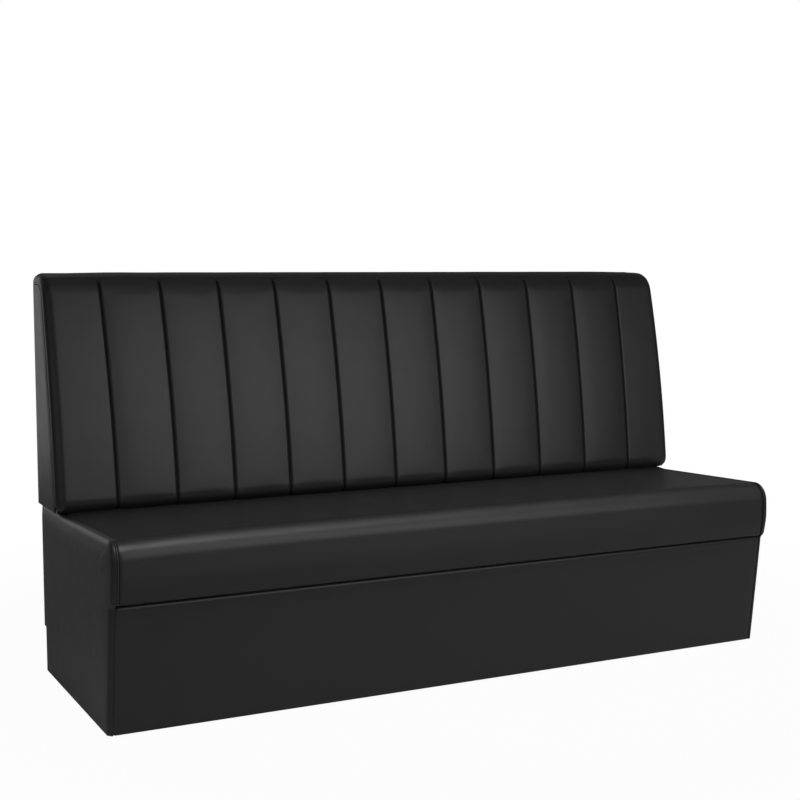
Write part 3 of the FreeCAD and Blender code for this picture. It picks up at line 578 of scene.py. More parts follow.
def soften_seat(x, depth, way, whole):
    """Rolled ends and slow waves of the seat cover."""
    edge = SEAT_HALF - np.abs(x)
    calm = fade(edge, 60) * fade(way, 30) * fade(whole - way, 40)
    return depth + dip(edge, 3.4, 3.2) + (waves(x, way, SEAT_WAVES) + 1.0) * calm + 0.5


# Materials


def new_material(name, values):
    """A material whose principled shader has some plain values."""
    material = bpy.data.materials.new(name)
    material.use_nodes = True
    tree = material.node_tree
    return material, tree, set_inputs(tree.nodes["Principled BSDF"], values)


def set_inputs(made, values):
    """Set the plain values of a node."""
    for key, value in values.items():
        made.inputs[key].default_value = value
    return made


def node(tree, kind, values=None, **settings):
    """Add a shader node with its plain values and settings."""
    made = tree.nodes.new(kind)
    for key, value in settings.items():
        setattr(made, key, value)
    return set_inputs(made, values or {})


def combine(tree, operation, first, second):
    """Combine two values."""
    made = node(tree, "ShaderNodeMath", operation=operation)
    tree.links.new(first, made.inputs[0])
    tree.links.new(second, made.inputs[1])
    return made.outputs["Value"]


def coordinates(tree):
    """Object coordinates in metres."""
    return tree.nodes.new("ShaderNodeTexCoord").outputs["Object"]


def ramp(tree, source, low, high, start=0.3, end=0.7):
    """Map a pattern to a range of values or greys."""
    limits = {"From Min": start, "From Max": end, "To Min": low, "To Max": high}
    made = node(tree, "ShaderNodeMapRange", limits)
    tree.links.new(source, made.inputs["Value"])
    return made.outputs["Result"]


def blend_colours(tree, factor, first, second):
    """Mix two colours by a pattern."""
    made = node(tree, "ShaderNodeMix", data_type="RGBA")
    sockets = {socket.name: socket for socket in made.inputs if socket.type == "RGBA"}
    sockets["A"].default_value = (*first, 1)
    sockets["B"].default_value = (*second, 1)
    tree.links.new(factor, made.inputs["Factor"])
    return [out for out in made.outputs if out.type == "RGBA"][0]


def pattern(tree, scale, stretch=(1, 1, 1), kind="Noise", **values):
    """Noise, or the distances of a cell pattern, at a scale per metre."""
    mapping = node(tree, "ShaderNodeMapping", {"Scale": stretch})
    tree.links.new(coordinates(tree), mapping.inputs["Vector"])
    made = node(tree, "ShaderNodeTex" + kind, {"Scale": scale, **values})
    tree.links.new(mapping.outputs["Vector"], made.inputs["Vector"])
    return made.outputs["Fac" if kind == "Noise" else "Distance"]


def add_bump(tree, shader, height, strength, distance, normal=None):
    """Turn a height pattern into a bump of the surface."""
    bump = node(tree, "ShaderNodeBump", {"Strength": strength, "Distance": distance})
    tree.links.new(height, bump.inputs["Height"])
    if normal:
        tree.links.new(normal, bump.inputs["Normal"])
    tree.links.new(bump.outputs["Normal"], shader.inputs["Normal"])
    return bump.outputs["Normal"]


def paint(tree, shader, shade, dark, colour):
    """Colour a surface between two colours by a pattern."""
    tree.links.new(blend_colours(tree, shade, dark, colour), shader.inputs["Base Color"])


def make_vinyl(name, colour, rough, grain=1.0):
    """Black upholstery vinyl: fine cells, faint mottling and a soft sheen."""
    gloss = {"Specular IOR Level": 0.42, "Sheen Weight": 0.02, "Sheen Roughness": 0.5}
    material, tree, shader = new_material(name, gloss)
    dark = tuple(0.86 * value for value in colour)
    paint(tree, shader, ramp(tree, pattern(tree, 9, Detail=4), 0, 1), dark, colour)
    wear = ramp(tree, pattern(tree, 28, Detail=5), rough - 0.015, rough + 0.02)
    tree.links.new(wear, shader.inputs["Roughness"])
    cells = pattern(tree, 900, kind="Voronoi")
    normal = add_bump(tree, shader, cells, 0.3 * grain, 0.0003)
    add_bump(tree, shader, pattern(tree, 160, Detail=6), 0.05 * grain, 0.0009, normal)
    return material


def make_wood(name, colour, dark, along):
    """Bare timber with grain along one axis, with painted shade: black at the joint under the back."""
    material, tree, shader = new_material(name, {"Roughness": 0.62})
    stretch = tuple(0.07 if axis == along else 1 for axis in "xyz")
    grain = pattern(tree, 130, stretch, Detail=8, Distortion=0.6)
    broad = ramp(tree, pattern(tree, 16, stretch, Detail=3), 0.85, 1.1)
    # Painted shade: the timber turns black between these heights, where it shows in the joint under the
    # back.
    height = tree.nodes.new("ShaderNodeSeparateXYZ")
    tree.links.new(coordinates(tree), height.inputs["Vector"])
    below = ramp(tree, height.outputs["Z"], 1, 0, *JOINT_SHADE_FROM)
    above = ramp(tree, height.outputs["Z"], 0, 1, *JOINT_SHADE_TO)
    clear = combine(tree, "MAXIMUM", below, above)
    mixed = node(tree, "ShaderNodeHueSaturation")
    tree.links.new(blend_colours(tree, ramp(tree, grain, 0, 1), dark, colour), mixed.inputs["Color"])
    tree.links.new(combine(tree, "MULTIPLY", broad, clear), mixed.inputs["Value"])
    tree.links.new(mixed.outputs["Color"], shader.inputs["Base Color"])
    add_bump(tree, shader, grain, 0.4, 0.0004)
    return material


def make_soft(name, colour, dark, scale, rough=0.95):
    """Open foam or wadding: cells of a size, matt."""
    material, tree, shader = new_material(name, {"Roughness": rough, "Sheen Weight": 0.2})
    cells = pattern(tree, scale, kind="Voronoi")
    paint(tree, shader, ramp(tree, cells, 0, 1, 0.1, 0.6), dark, colour)
    add_bump(tree, shader, cells, 0.5, 0.0008)
    return material


def make_hard(name, colour, rough, metallic, scale):
    """Metal or plastic with fine scratches and uneven gloss."""
    material, tree, shader = new_material(name, {"Metallic": metallic})
    marks = pattern(tree, scale, (1, 1, 0.2), Detail=7)
    paint(tree, shader, ramp(tree, marks, 0, 1), tuple(0.8 * value for value in colour), colour)
    tree.links.new(ramp(tree, marks, rough - 0.06, rough + 0.08), shader.inputs["Roughness"])
    add_bump(tree, shader, marks, 0.25, 0.0002)
    return material


PLY, PLY_DARK = (0.66, 0.50, 0.33), (0.46, 0.32, 0.19)
PLY_SIDE = make_wood("plywood_side_look", PLY, PLY_DARK, "y")
THREAD = make_soft("thread_look", (0.005, 0.005, 0.0052), (0.003, 0.003, 0.003), 1500, 0.9)
LOOKS = {
    "vinyl": make_vinyl("vinyl_look", (0.0105, 0.0105, 0.0111), 0.41),
    "vinyl_piping": make_vinyl("vinyl_piping_look", (0.013, 0.013, 0.0138), 0.38, 0.5),
    "seat_foam": make_soft("seat_foam_look", (0.78, 0.74, 0.58), (0.5, 0.46, 0.32), 420),
    "back_foam": make_soft("back_foam_look", (0.80, 0.77, 0.64), (0.55, 0.51, 0.38), 420),
    "channel_filling": make_soft("filling_look", (0.86, 0.86, 0.84), (0.6, 0.6, 0.58), 240),
    "padding": make_soft("padding_look", (0.88, 0.88, 0.86), (0.62, 0.62, 0.6), 300),
    "dust_cloth": make_soft("dust_cloth_look", (0.05, 0.05, 0.05), (0.025, 0.025, 0.025), 900),
    "plywood": make_wood("plywood_look", PLY, PLY_DARK, "x"),
    "pine": make_wood("pine_look", (0.76, 0.61, 0.41), (0.55, 0.38, 0.21), "x"),
    "zinc_steel": make_hard("zinc_steel_look", (0.62, 0.63, 0.65), 0.38, 1.0, 220),
    "glide_plastic": make_hard("glide_plastic_look", (0.05, 0.05, 0.05), 0.5, 0.0, 180),
}
SIDEWAYS = ("end_panel", "rib_", "back_rib", "back_end_frame")


def dress_nodes():
    """Give each CAD node the look of its material slot."""
    slots = {row["node"]: row["material_slot"] for row in frame["record"]["subparts"]}
    for name, piece in frame["nodes"].items():
        look = PLY_SIDE if name.startswith(SIDEWAYS) else LOOKS[slots[name]]
        piece.data.materials.clear()
        piece.data.materials.append(look)


# Back


def make_back_covers():
    """Channelled face and smooth band over the top, each a closed skin."""
    loop = shell(both_sides(channelled(0)), both_sides(channelled(COVER)))
    path = back_path(FACE_PARTS)
    face = sweep("back_channelled_cover", loop, path, "vinyl", soften_face, puff_face, SEAM_SHARP)
    stand_in(face, "back_face_cover")
    loop = shell(smooth(0), smooth(COVER))
    band = sweep("back_top_band", loop, back_path(BAND_PARTS), "vinyl", soften_band)
    stand_in(band, "back_top_cover")


def puff_face(points):
    """Puff the channels up between their seams with one channel's simulation."""
    half = points.shape[1] // 2
    middle = half // 2
    columns = len(channel_columns())
    pins = rim_pins(len(points), columns)
    pins[:, :SEAM_HELD] = pins[:, -SEAM_HELD:] = True
    moved = inflate(points[:, middle + 1 - columns:middle + 1], pins, *FACE_PUFF)
    for number in range(1, CHANNELS - 1):
        turn = -1 if number % 2 else 1
        start = middle + (number - CHANNELS // 2) * (columns - 1)
        end = 2 * half - start
        way = moved[:, ::turn] * np.array([turn, 1, 1])
        points[:, start:start + columns] += way
        points[:, end - columns:end] += way[:, ::-1]
    return fan_out(points)


def make_fillings():
    """Stuffed filling of each channel, and the foam and wadding behind and over it."""
    columns = channel_columns()[3:-3]
    base = COVER + RISE
    top = COVER + GAP + FILL_ROOM
    surface = np.stack([columns, np.minimum(channel_depth(columns) + top, base)], axis=1)
    for number in range(CHANNELS):
        if number in (0, CHANNELS - 1):
            half = surface[columns <= 0]
            turns = np.vstack([end_turn(top), end_turn(base)[::-1]])
            turns[:, 0] -= HALF - CHANNEL / 2
            loop = np.vstack([half, turns, [[half[0, 0], base]]])
            if number == 0:
                loop = mirror(loop)
        else:
            loop = np.vstack([surface, [[surface[-1, 0], base], [surface[0, 0], base]]])
        loop[:, 0] += (number + 0.5) * CHANNEL - HALF
        name = f"channel_filling_{number + 1:02d}"
        pad = sweep(name, loop, back_path(FACE_PARTS), "channel_filling", soften_filling, fan_out)
        stand_in(pad, f"channel_pad_{number + 1:02d}")
    path = before_rear(back_path(BAND_PARTS))
    strip = sweep("back_top_wadding", shell(smooth(top), smooth(base)), path, "padding", soften_wadding)
    stand_in(strip, "back_top_padding")
    path = before_rear(back_path(FACE_PARTS + BAND_PARTS))
    stand_in(sweep("back_foam_slab", smooth(base + GAP), path, "back_foam"), "back_foam")


def piping(name, across, drop, path, replaced):
    """A welt: a covered cord along a path."""
    angle = np.linspace(0, 2 * math.pi, 14, endpoint=False)
    loop = np.stack([across + PIPING_R * np.sin(angle), drop - PIPING_R * np.cos(angle)], axis=1)
    stand_in(sweep(name, loop, path, "vinyl_piping"), replaced)


def make_welts():
    """Welts round the back's ends and along the seat's ends."""
    path = before_rear(back_path(FACE_PARTS + BAND_PARTS))
    drop = SOFT + PIPING_R + GAP
    seat = seat_path()
    seat = seat[(seat[:, 4] > UNDER_R) & (seat[:, 0] < SEAT_REAR - COVER)]
    for side, sign in (("left", -1), ("right", 1)):
        piping(f"back_welt_{side}", sign * (HALF - PIPING_R), drop, path, f"back_piping_{side}")
        across = sign * (LIP_X - GAP - PIPING_R)
        piping(f"seat_welt_{side}", across, PIPING_R - 0.5, seat, f"seat_piping_{side}")


# Outlined panels: a rim round an outline, and rings that shrink towards its middle


def corner_frame(corners, number):
    """Corner, the ways back and onward from it, and how far its rounding reaches."""
    spots = [np.array(corner[:2], float) for corner in corners]
    here, before, after = spots[number], spots[number - 1], spots[(number + 1) % len(spots)]
    back = (before - here) / np.linalg.norm(before - here)
    onward = (after - here) / np.linalg.norm(after - here)
    half_angle = math.acos(np.clip(back @ onward, -1, 1)) / 2
    return here, back, onward, half_angle, corners[number][2] / math.tan(half_angle)


def outline_points(corners):
    """Points of a closed outline whose corners are y, z and rounding."""
    points = []
    for number, (_, _, rounding) in enumerate(corners):
        here, back, onward, half_angle, reach = corner_frame(corners, number)
        if rounding:
            middle = (back + onward) / np.linalg.norm(back + onward)
            centre = here + middle * rounding / math.sin(half_angle)
            enter, leave = here + back * reach - centre, here + onward * reach - centre
            first = math.atan2(enter[1], enter[0])
            turn = (math.atan2(leave[1], leave[0]) - first + math.pi) % (2 * math.pi) - math.pi
            count = max(4, int(abs(turn) * rounding / BEND_STEP))
            for angle in first + turn * np.linspace(0, 1, count):
                points.append(centre + rounding * np.array([math.cos(angle), math.sin(angle)]))
        else:
            points.append(here)
        following = corner_frame(corners, (number + 1) % len(corners))
        way = following[0] + following[1] * following[4] - points[-1]
        steps = max(2, int(np.linalg.norm(way) / RUN_STEP))
        points.extend(points[-1] + way * np.linspace(0, 1, steps + 1)[1:-1, None])
    return np.array(points)


def inward_ways(points):
    """Ways into an anticlockwise outline, longer at its corners."""
    along = np.roll(points, -1, axis=0) - points
    along = along / np.linalg.norm(along, axis=1)[:, None]
    onward = np.stack([-along[:, 1], along[:, 0]], axis=1)
    back = np.roll(onward, 1, axis=0)
    return (onward + back) / (1 + np.sum(onward * back, axis=1))[:, None]


def edge_drop(spots, edges):
    """How far a panel falls away at each spot beside its rounded edges."""
    drop = np.zeros(len(spots))
    for run, radius in edges:
        near = np.min(np.linalg.norm(spots[:, None] - run[None], axis=2), axis=1)
        reach = np.clip(radius - near, 0, radius)
        soft = SHOULDER * fade(spots[:, 1] - NOSE_LOW, SHOULDER_RUN) * (radius == EDGE_ROUND)
        turn = radius - np.sqrt(radius ** 2 - reach ** 2)
        drop = np.maximum(drop, turn * (1 - soft / radius) + dip(near, soft, SHOULDER_WIDE))
    return drop


def rounded(points, reach):
    """A closed outline drawn round by a running mean."""
    padded = np.vstack([np.zeros(2), points[-reach:], points, points[:reach]])
    total = np.cumsum(padded, axis=0)
    width = 2 * reach + 1
    return (total[width:] - total[:-width]) / width


def dense(points):
    """A run of points with others between them."""
    parts = [points[:1]]
    for start, end in zip(points, points[1:]):
        count = max(1, int(np.linalg.norm(end - start) / EDGE_STEP))
        parts.append(start + (end - start) * np.linspace(0, 1, count + 1)[1:, None])
    return np.vstack(parts)


def panel_rings(points, wraps, edges, centre, end_x, bulge, seed, puff=None):
    """Rings of an edge-rounded panel, from its lip to its middle."""
    ways = inward_ways(points)
    rings = []
    for x, inset in wraps:
        spots = points + ways * np.reshape(inset, (-1, 1))
        rings.append(np.column_stack([np.broadcast_to(x, len(points)), spots]))
    flat = [points + ways * inset for inset in RING_INSETS]
    first, soft = flat[-1], rounded(flat[-1], len(points) // 7)
    for share in RING_SHARES:
        blend = min(1, 2.2 * (1 - share))
        flat.append(centre + (first + (soft - first) * blend - centre) * share)
    low, high = points.min(axis=0), points.max(axis=0)
    for spots in flat:
        window = np.clip(1 - np.abs((2 * spots - low - high) / (high - low)) ** 4, 0, 1)
        swell = np.prod(window, axis=1) * (bulge + 0.35 * ripple(*spots.T, seed, 130))
        rings.append(np.column_stack([end_x + swell - edge_drop(spots, edges), spots]))
    rings = np.array(rings)
    if puff:
        sheet = rings[len(wraps) + 4:]
        pins = np.zeros(sheet.shape[:2], bool)
        pins[0] = True
        sheet[:, :, 0] += inflate(sheet, pins, *puff, closed=True)[:, :, 0]
    return rings


def panel_piece(name, node_name, rings, sign, thick, slot):
    """Closed skin from rings, on the right (sign 1) or the left (sign -1), which stands for a node."""
    side = "left" if sign < 0 else "right"
    count, columns = rings.shape[:2]
    depth = np.full(count, thick)
    depth[:3] = EDGE_THICK
    inner = rings - ring_normals(rings) * depth[:, None, None]
    points = np.vstack([rings.reshape(-1, 3), inner.reshape(-1, 3)])
    points[:, 0] *= sign
    half = count * columns
    faces = grid_faces(count, columns, True) + grid_faces(count, columns, True, half, True)
    for column in range(columns):
        following = (column + 1) % columns
        faces.append((column, half + column, half + following, following))
    cap = range(half - columns, half)
    faces += [tuple(cap), tuple(half + number for number in cap[::-1])]
    if sign < 0:
        faces = [face[::-1] for face in faces]
    stand_in(add_piece(f"{name}_{side}", points, faces, slot), f"{node_name}_{side}")


def ring_normals(rings):
    """Outward normals at the points of closed rings."""
    along = np.roll(rings, -1, axis=1) - np.roll(rings, 1, axis=1)
    across = np.gradient(rings, axis=0)
    normal = np.cross(along, across)
    length = np.linalg.norm(normal, axis=2)[..., None]
    return normal / np.maximum(length, 1e-9)


def make_plinth_ends():
    """Cover and wadding of the plinth's ends, rounded along the front and top."""
    outline = outline_points([
        (*TOE, 0), (RECESS_Y, GLIDE_HIGH, 0), (RECESS_Y, RECESS_Z, 0), (REAR, RECESS_Z, 0),
        (REAR, REAR_TOP, 0), (RISE_Y + RISE_LONG, REAR_TOP, RISE_R), (RISE_Y, seat_top(RISE_Y), RISE_R),
        (FRONT, SEAT_HIGH, NOSE_R), (FRONT, NOSE_LOW, BELLY_R), (*UNDER, BEND_R), (*HOLLOW, HOLLOW_R),
    ])
    below = (outline[:, 1] < GLIDE_HIGH + 0.5) & (outline[:, 0] > TOE[0] + 1)
    recess = (outline[:, 0] > RECESS_Y - 0.5) & (outline[:, 1] < RECESS_Z + 0.5)
    show = ~(below | recess | (outline[:, 0] > REAR - 0.5))
    first, count = int(np.flatnonzero(show & ~np.roll(show, 1))[0]), int(show.sum())
    turned = np.roll(outline, -first, axis=0)
    shown, hidden = dense(turned[:count]), dense(turned[count - 1:])
    for sign in (-1, 1):
        for inset in (0, COVER + GAP + 0.6):
            points = outline + inward_ways(outline) * inset
            edges = [(shown, EDGE_ROUND), (hidden, HIDDEN_ROUND + inset)]
            wraps = [
                (np.where(show, LIP_X - back, LIP_X - far) + inset, np.where(show, inward, under))
                for (back, inward), (far, under) in zip(LIP_TURN, HIDDEN_TURN)
            ]
            wraps, puff = (wraps[2:], None) if inset else (wraps, END_PUFF)
            rings = panel_rings(
                points, wraps, edges, PLINTH_MIDDLE, END_X - inset, SIDE_BULGE, 11 + sign, puff)
            if inset:
                panel_piece("plinth_end_wadding", "end_padding", rings, sign, END_WADDING, "padding")
            else:
                panel_piece("plinth_end_cover", "end_cover", rings, sign, COVER, "vinyl")


def back_end_outline(inset):
    """Outline of the back's end panel, inside its welt."""
    front = arc_rows(FACE, FACE_R - INSET - inset, HIGH, LOW, 60)[:, :2]
    roll = arc_rows(ROLL, ROLL_R - INSET - inset, 90, HIGH, 8)[:, :2]
    low, rear = BACK_LOW, REAR - (COVER if inset else 0)
    bottom = [(y, low) for y in np.linspace(TUCK[0], rear, 18)]
    back = [(rear, z) for z in np.linspace(low, roll[0, 1], 52)[1:]]
    top = [(y, roll[0, 1]) for y in np.linspace(rear, roll[0, 0], 8)[1:-1]]
    tuck = [(TUCK[0], z) for z in np.linspace(front[-1, 1], low, 6)[1:-1]]
    return np.array([*bottom, *back, *top, *roll, *front[1:], *tuck])


def back_end_rings(inset, edge, turn, end_x, bulge, seed, puff=None):
    """Rings of the cover or wadding of the back's end."""
    points = back_end_outline(inset)
    edges = [(dense(np.vstack([points, points[:1]])), edge)]
    wraps = [(HALF - back, inward) for back, inward in turn]
    return panel_rings(points, wraps, edges, BACK_MIDDLE, end_x, bulge, seed, puff)


def make_back_ends():
    """Cover and wadding of the back's ends."""
    deep = COVER + GAP + 0.5
    for sign in (-1, 1):
        rings = back_end_rings(0, 1.8, BACK_TURN, HALF, 0.5, 21 + sign, END_PUFF)
        panel_piece("back_end_panel", "back_end_cover", rings, sign, COVER, "vinyl")
        rings = back_end_rings(BACK_WADDING_IN, 1.2, BACK_WADDING_TURN, HALF - deep, 0.3, 21 + sign)
        panel_piece("back_end_wadding", "back_end_padding", rings, sign, BACK_WADDING, "padding")


# Seat and plinth front


def end_columns(half, count=56):
    """Places along the bench, close together beside both ends."""
    near = np.array([0, 0.8, 1.8, 3.2, 5.2, 8, 12, 18, 28, 42])
    middle = np.linspace(-half + 60, half - 60, count)
    return np.hstack([near - half, middle, (half - near)[::-1]])


def make_seat():
    """Seat cover over its foam, with crown, nose and rolled ends."""
    loop = layer(end_columns(SEAT_HALF), 0, COVER)
    cover = sweep("seat_cushion_cover", loop, seat_path(), "vinyl", soften_seat,
                  lambda points: blow_up(lift_seat(points), *SEAT_PUFF))
    stand_in(cover, "seat_cover")
    make_seat_foam()


def make_seat_foam():
    """Foam block on the deck, with a nose that hangs in front of it."""
    rows = seat_path(COVER + GAP + FILL_ROOM)
    rows = rows[(rows[:, 4] > 2 * UNDER_R) & (rows[:, 0] < SEAT_REAR - COVER - GAP - 1.5)]
    section = rows[:, :2]
    rear, low = section[-1, 0], section[0, 1]
    under = [(rear, z) for z in np.linspace(section[-1, 1], DECK_TOP, 8)[1:]]
    deck = [(y, DECK_TOP) for y in np.linspace(rear, FOAM_FRONT, 30)[1:]]
    hang = [(FOAM_FRONT, z) for z in np.linspace(DECK_TOP, low, 6)[1:]]
    loop = np.array([*section, *under, *deck, *hang])
    points = np.array([np.column_stack([np.full(len(loop), x), loop]) for x in end_columns(FOAM_HALF, 30)])
    share = fade(points[..., 2] - DECK_TOP - FOAM_RISE_FROM, FOAM_RISE_RUN)
    points[..., 2] += (seat_rise(points[..., 0]) - 0.3) * share
    foam = add_piece("seat_foam_block", points.reshape(-1, 3), tube_faces(*points.shape[:2]), "seat_foam")
    stand_in(foam, "seat_foam")


def front_path():
    """Path of the plinth's front cover, from under the plinth to its lip."""
    lean = math.degrees(math.atan2(JOINT[0] - TOE[0], JOINT[1] - TOE[1]))
    toe = (TOE[0] + TOE_R * 0.95, TOE[1] + TOE_R)
    lip = (JOINT[0] + LIP_R * 1.05, JOINT[1] - LIP_R)
    foot = arc_rows(toe, TOE_R, -90, lean, 6)
    head = arc_rows(lip, LIP_R, lean, 90, 9)
    return join(
        line_rows((TOE[0] + WRAP, TOE[1]), (toe[0], TOE[1]), -90, 4),
        foot,
        line_rows(foot[-1, :2], head[0, :2], lean, 44),
        head,
        line_rows((lip[0], JOINT[1]), (JOINT[0] + LIP_R, JOINT[1]), 90, 3),
    )


def soften_front(x, depth, way, whole):
    """Seams at the ends of the front cover, and slow waves of its padding."""
    edge = LIP_X - GAP - np.abs(x)
    calm = fade(edge, 50) * fade(way - WRAP, 40) * fade(whole - way, 30)
    lip = 2.6 * np.exp(-((whole - way - 14) / 7) ** 2) * fade(edge, 6)
    return depth + dip(edge, 1.6, 2.2) + calm * (waves(x, way, FRONT_WAVES) + 0.8) - lip


def make_front():
    """Cover and wadding of the plinth's front."""
    columns = end_columns(LIP_X - GAP)
    rows = front_path()
    loop = layer(columns, 0, COVER)
    cover = sweep("plinth_front_cover", loop, rows, "vinyl", soften_front,
                  lambda points: blow_up(points, *FRONT_PUFF))
    stand_in(cover, "front_cover")
    rows = rows[(rows[:, 4] > WRAP + 2) & (rows[:, 4] < rows[-1, 4] - 11)]
    wadding = sweep("plinth_front_wadding", layer(columns, *FRONT_WADDING), rows, "padding")
    stand_in(wadding, "front_padding")


# Rear and underside


def polyline_path(spots):
    """Path along straight runs, which share the normal at each corner."""
    rows = []
    for start, end in zip(spots, spots[1:]):
        start, run = np.array(start, float), np.subtract(end, start)
        long = np.linalg.norm(run)
        normal = np.array([-run[1], run[0]]) / long
        share = np.linspace(0, 1, max(2, int(long / REAR_STEP)))[:, None]
        part = np.hstack([start + run * share, np.tile(normal, (len(share), 1))])
        if rows:
            rows[-1][2:4] += normal
        rows.extend(part[1:] if rows else part)
    return with_way(np.array(rows))


def make_rear():
    """Stretched covers of the rear, and the cloth under the plinth."""
    path = polyline_path([
        (RECESS_Y - WRAP, GLIDE_HIGH), (RECESS_Y, GLIDE_HIGH), (RECESS_Y, RECESS_Z),
        (REAR, RECESS_Z), (REAR, BACK_LOW - GAP),
    ])
    path[:, 2:4] *= -1
    half = LIP_X - GAP
    low = sweep("plinth_rear_sheet", layer(np.linspace(half, -half, 60), 0, COVER), path, "vinyl")
    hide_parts("plinth_rear_cover")
    high = rear_sheet()
    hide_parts("back_rear_cover")
    cloth = under_cloth(half)
    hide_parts("dust_cover")


def flat_sheet(name, outer, step, slot):
    """Closed thin sheet from a grid of points and a step through its thickness."""
    rows, columns = outer.shape[:2]
    points = np.vstack([outer.reshape(-1, 3), (outer + np.asarray(step)).reshape(-1, 3)])
    half = rows * columns
    faces = grid_faces(rows, columns) + grid_faces(rows, columns, start=half, flip=True)
    spots = np.arange(half).reshape(rows, columns)
    rim = np.hstack([spots[:, 0], spots[-1, 1:], spots[-2::-1, -1], spots[0, -2:0:-1]]).tolist()
    for here, following in zip(rim, rim[1:] + rim[:1]):
        faces.append((half + following, half + here, here, following))
    return add_piece(name, points, faces, slot)


def rear_sheet():
    """Cover of the back's rear, rounded like the top band over it."""
    radius = END_ROUND - COVER - GAP
    start = TOP - COVER - GAP - radius
    turn = np.radians(np.linspace(0, 90, 9)[1:])
    heights = np.hstack([np.linspace(BACK_LOW, start, 44), start + radius * np.sin(turn)])
    over = np.clip(heights - start, 0, radius)
    wide = HALF - COVER - GAP - radius + np.sqrt(radius ** 2 - over ** 2)
    x = wide[:, None] * np.linspace(1, -1, 90)
    z = np.tile(heights[:, None], (1, 90))
    points = np.stack([x, np.full_like(x, REAR), z], axis=2)
    return flat_sheet("back_rear_sheet", points, (0, -COVER, 0), "vinyl")


def under_cloth(half):
    """Thin cloth under the plinth."""
    y = np.linspace(TOE[0] + WRAP + GAP, RECESS_Y - WRAP - GAP, 40)
    x, y = np.meshgrid(np.linspace(-half, half, 90), y)
    z = GLIDE_HIGH + 0.25 + 0.2 * ripple(x, y, 41, 120)
    return flat_sheet("plinth_under_cloth", np.stack([x, y, z], axis=2)[::-1], (0, 0, 0.6), "dust_cloth")


def make_stitching():
    """Thread stitches down in the channel seams, each four rings of four points."""
    path = back_path(FACE_PARTS)
    count = int((path[-1, 4] - STITCH_FREE) / STITCH_PITCH)
    ways = STITCH_START + STITCH_PITCH * np.arange(count)
    y, z, out_y, out_z = [np.interp(ways, path[:, 4], path[:, k])[:, None] for k in range(4)]
    angle = np.radians(np.tile((45, 135, 225, 315), 4))
    radius = STITCH_R * np.repeat((0.25, 1, 1, 0.25), 4)
    along = STITCH_LONG / 2 * np.repeat((-1, -0.6, 0.6, 1), 4)
    depth = GROOVE + CHANNEL_CROWN - STITCH_UP - radius * np.sin(angle)
    y, z = y - out_y * depth + out_z * along, z - out_z * depth - out_y * along
    seams = np.arange(1, CHANNELS) * CHANNEL - HALF
    x = seams[:, None, None] + np.broadcast_to(radius * np.cos(angle), y.shape)
    points = np.stack([x, np.broadcast_to(y, x.shape), np.broadcast_to(z, x.shape)], axis=3).reshape(-1, 3)
    faces = []
    for first in range(0, len(points), 16):
        faces += tube_faces(4, 4, first)
    return add_piece("channel_stitching", fan_out(points), faces, "vinyl_piping", look=THREAD)


# Room, light and camera


def mix_shaders(tree, factor, first, second, out):
    """Show the second shader as far as a factor says."""
    mix = tree.nodes.new("ShaderNodeMixShader")
    for number, source in enumerate((factor, first, second)):
        tree.links.new(source, mix.inputs[number])
    tree.links.new(mix.outputs["Shader"], out.inputs["Surface"])


def make_floor():
    """Floor that shows white to the camera and keeps the bench's faint shadow."""
    mesh = bpy.data.meshes.new("floor")
    wide = 30.0
    corners = [(-wide, -wide, 0), (wide, -wide, 0), (wide, wide, 0), (-wide, wide, 0)]
    mesh.from_pydata(corners, [], [(0, 1, 2, 3)])
    floor = bpy.data.objects.new("floor", mesh)
    SCENE.collection.objects.link(floor)
    matt = {"Base Color": (0.46, 0.46, 0.46, 1), "Roughness": 0.9, "Specular IOR Level": 0.1}
    material, tree, shader = new_material("floor_look", matt)
    glow = node(tree, "ShaderNodeEmission", {"Color": (1, 1, 1, 1), "Strength": 1.0})
    path = tree.nodes.new("ShaderNodeLightPath")
    away = node(tree, "ShaderNodeVectorMath", operation="LENGTH")
    tree.links.new(coordinates(tree), away.inputs[0])
    far = ramp(tree, away.outputs["Value"], 0.965, 1.0, 1.0, 2.2)
    seen = combine(tree, "MULTIPLY", path.outputs["Is Camera Ray"], far)
    out = tree.nodes["Material Output"]
    mix_shaders(tree, seen, shader.outputs["BSDF"], glow.outputs["Emission"], out)
    mesh.materials.append(material)


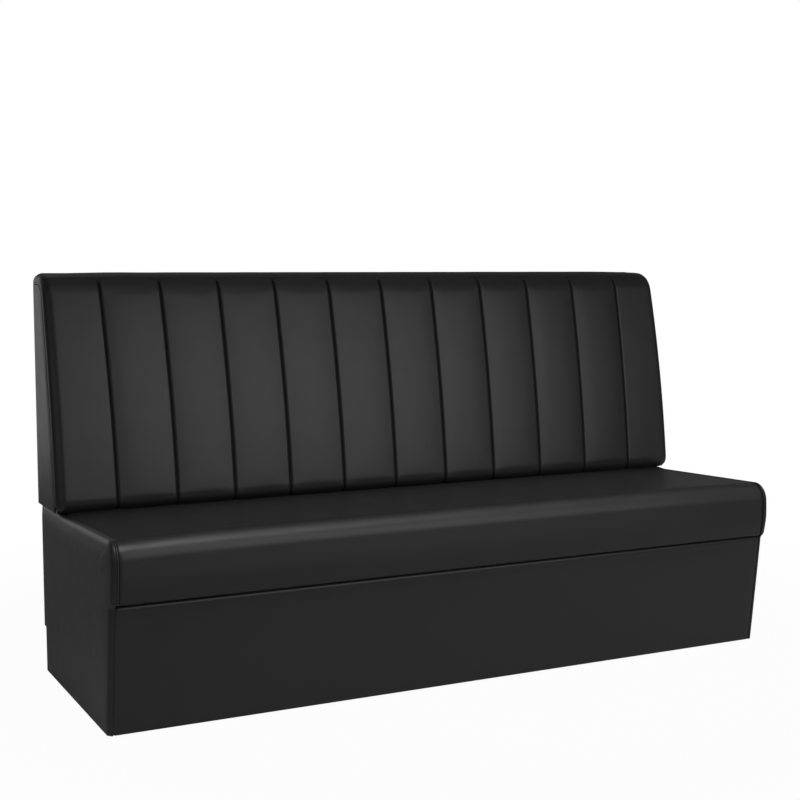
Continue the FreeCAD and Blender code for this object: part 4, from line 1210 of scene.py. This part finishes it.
def make_world():
    """White to the camera and through clear things, dim grey to the rest."""
    world = bpy.data.worlds.new("room")
    SCENE.world = world
    world.use_nodes = True
    tree = world.node_tree
    tree.nodes.clear()
    seen = node(tree, "ShaderNodeBackground", {"Color": (1, 1, 1, 1), "Strength": 1.0})
    cast = node(tree, "ShaderNodeBackground", {"Color": (1, 1, 1, 1), "Strength": 0.11})
    path = tree.nodes.new("ShaderNodeLightPath")
    clear = combine(tree, "MAXIMUM", path.outputs["Is Camera Ray"], path.outputs["Is Transmission Ray"])
    out = tree.nodes.new("ShaderNodeOutputWorld")
    mix_shaders(tree, clear, cast.outputs["Background"], seen.outputs["Background"], out)


def make_light(name, at, aim, size, radiance, spread=180):
    """A soft rectangular light aimed at a spot, its beam held to a spread; its power follows its size."""
    data = bpy.data.lights.new(name, "AREA")
    data.shape = "RECTANGLE"
    data.size, data.size_y = size
    data.energy = radiance * math.pi * size[0] * size[1]
    data.spread = math.radians(spread)
    lamp = bpy.data.objects.new(name, data)
    lamp.location = at
    way = np.array(aim, float) - np.array(at, float)
    way = way / np.linalg.norm(way)
    lamp.rotation_euler = (math.acos(-way[2]), 0, math.atan2(way[1], way[0]) - math.pi / 2)
    SCENE.collection.objects.link(lamp)


def make_camera():
    """Camera where the photograph was taken from."""
    data = bpy.data.cameras.new("camera")
    data.sensor_width = SENSOR
    data.lens = FOCAL_PIXELS * SENSOR / IMAGE_PIXELS
    camera = bpy.data.objects.new("camera", data)
    camera.location = CAMERA_AT
    camera.rotation_euler = [math.radians(a) for a in (90 - CAMERA_PITCH, CAMERA_ROLL, -CAMERA_YAW)]
    SCENE.collection.objects.link(camera)
    SCENE.camera = camera


dress_nodes()
make_back_covers()
make_fillings()
make_welts()
make_back_ends()
make_plinth_ends()
make_seat()
make_front()
make_rear()
make_stitching()
make_floor()
make_world()
make_light("nose_strip", (0.8, -1.1, 2.2), (0.8, -0.55, 0.42), (5.4, 0.5), 1.5, 60)
make_light("front_right", (0.9, -2.6, 1.45), (0.7, 0.1, 0.9), (2.7, 2.1), 1.95)
make_light("rear_left", (-1.65, 2.4, 0.95), (-0.89, 0.0, 0.6), (1.1, 1.5), 0.76)
make_light("left", (-3.2, -1.2, 1.15), (-0.9, 0.0, 0.75), (2.8, 1.1), 0.55)
make_light("overhead", (0.2, -0.4, 3.2), (0.1, -0.1, 0.4), (3.2, 2.4), 0.15)
make_light("rear_floor", (0.2, 2.2, 2.4), (0.2, 1.4, 0.0), (2.4, 1.2), 0.35, 70)
make_camera()
SCENE.view_settings.view_transform = "Standard"
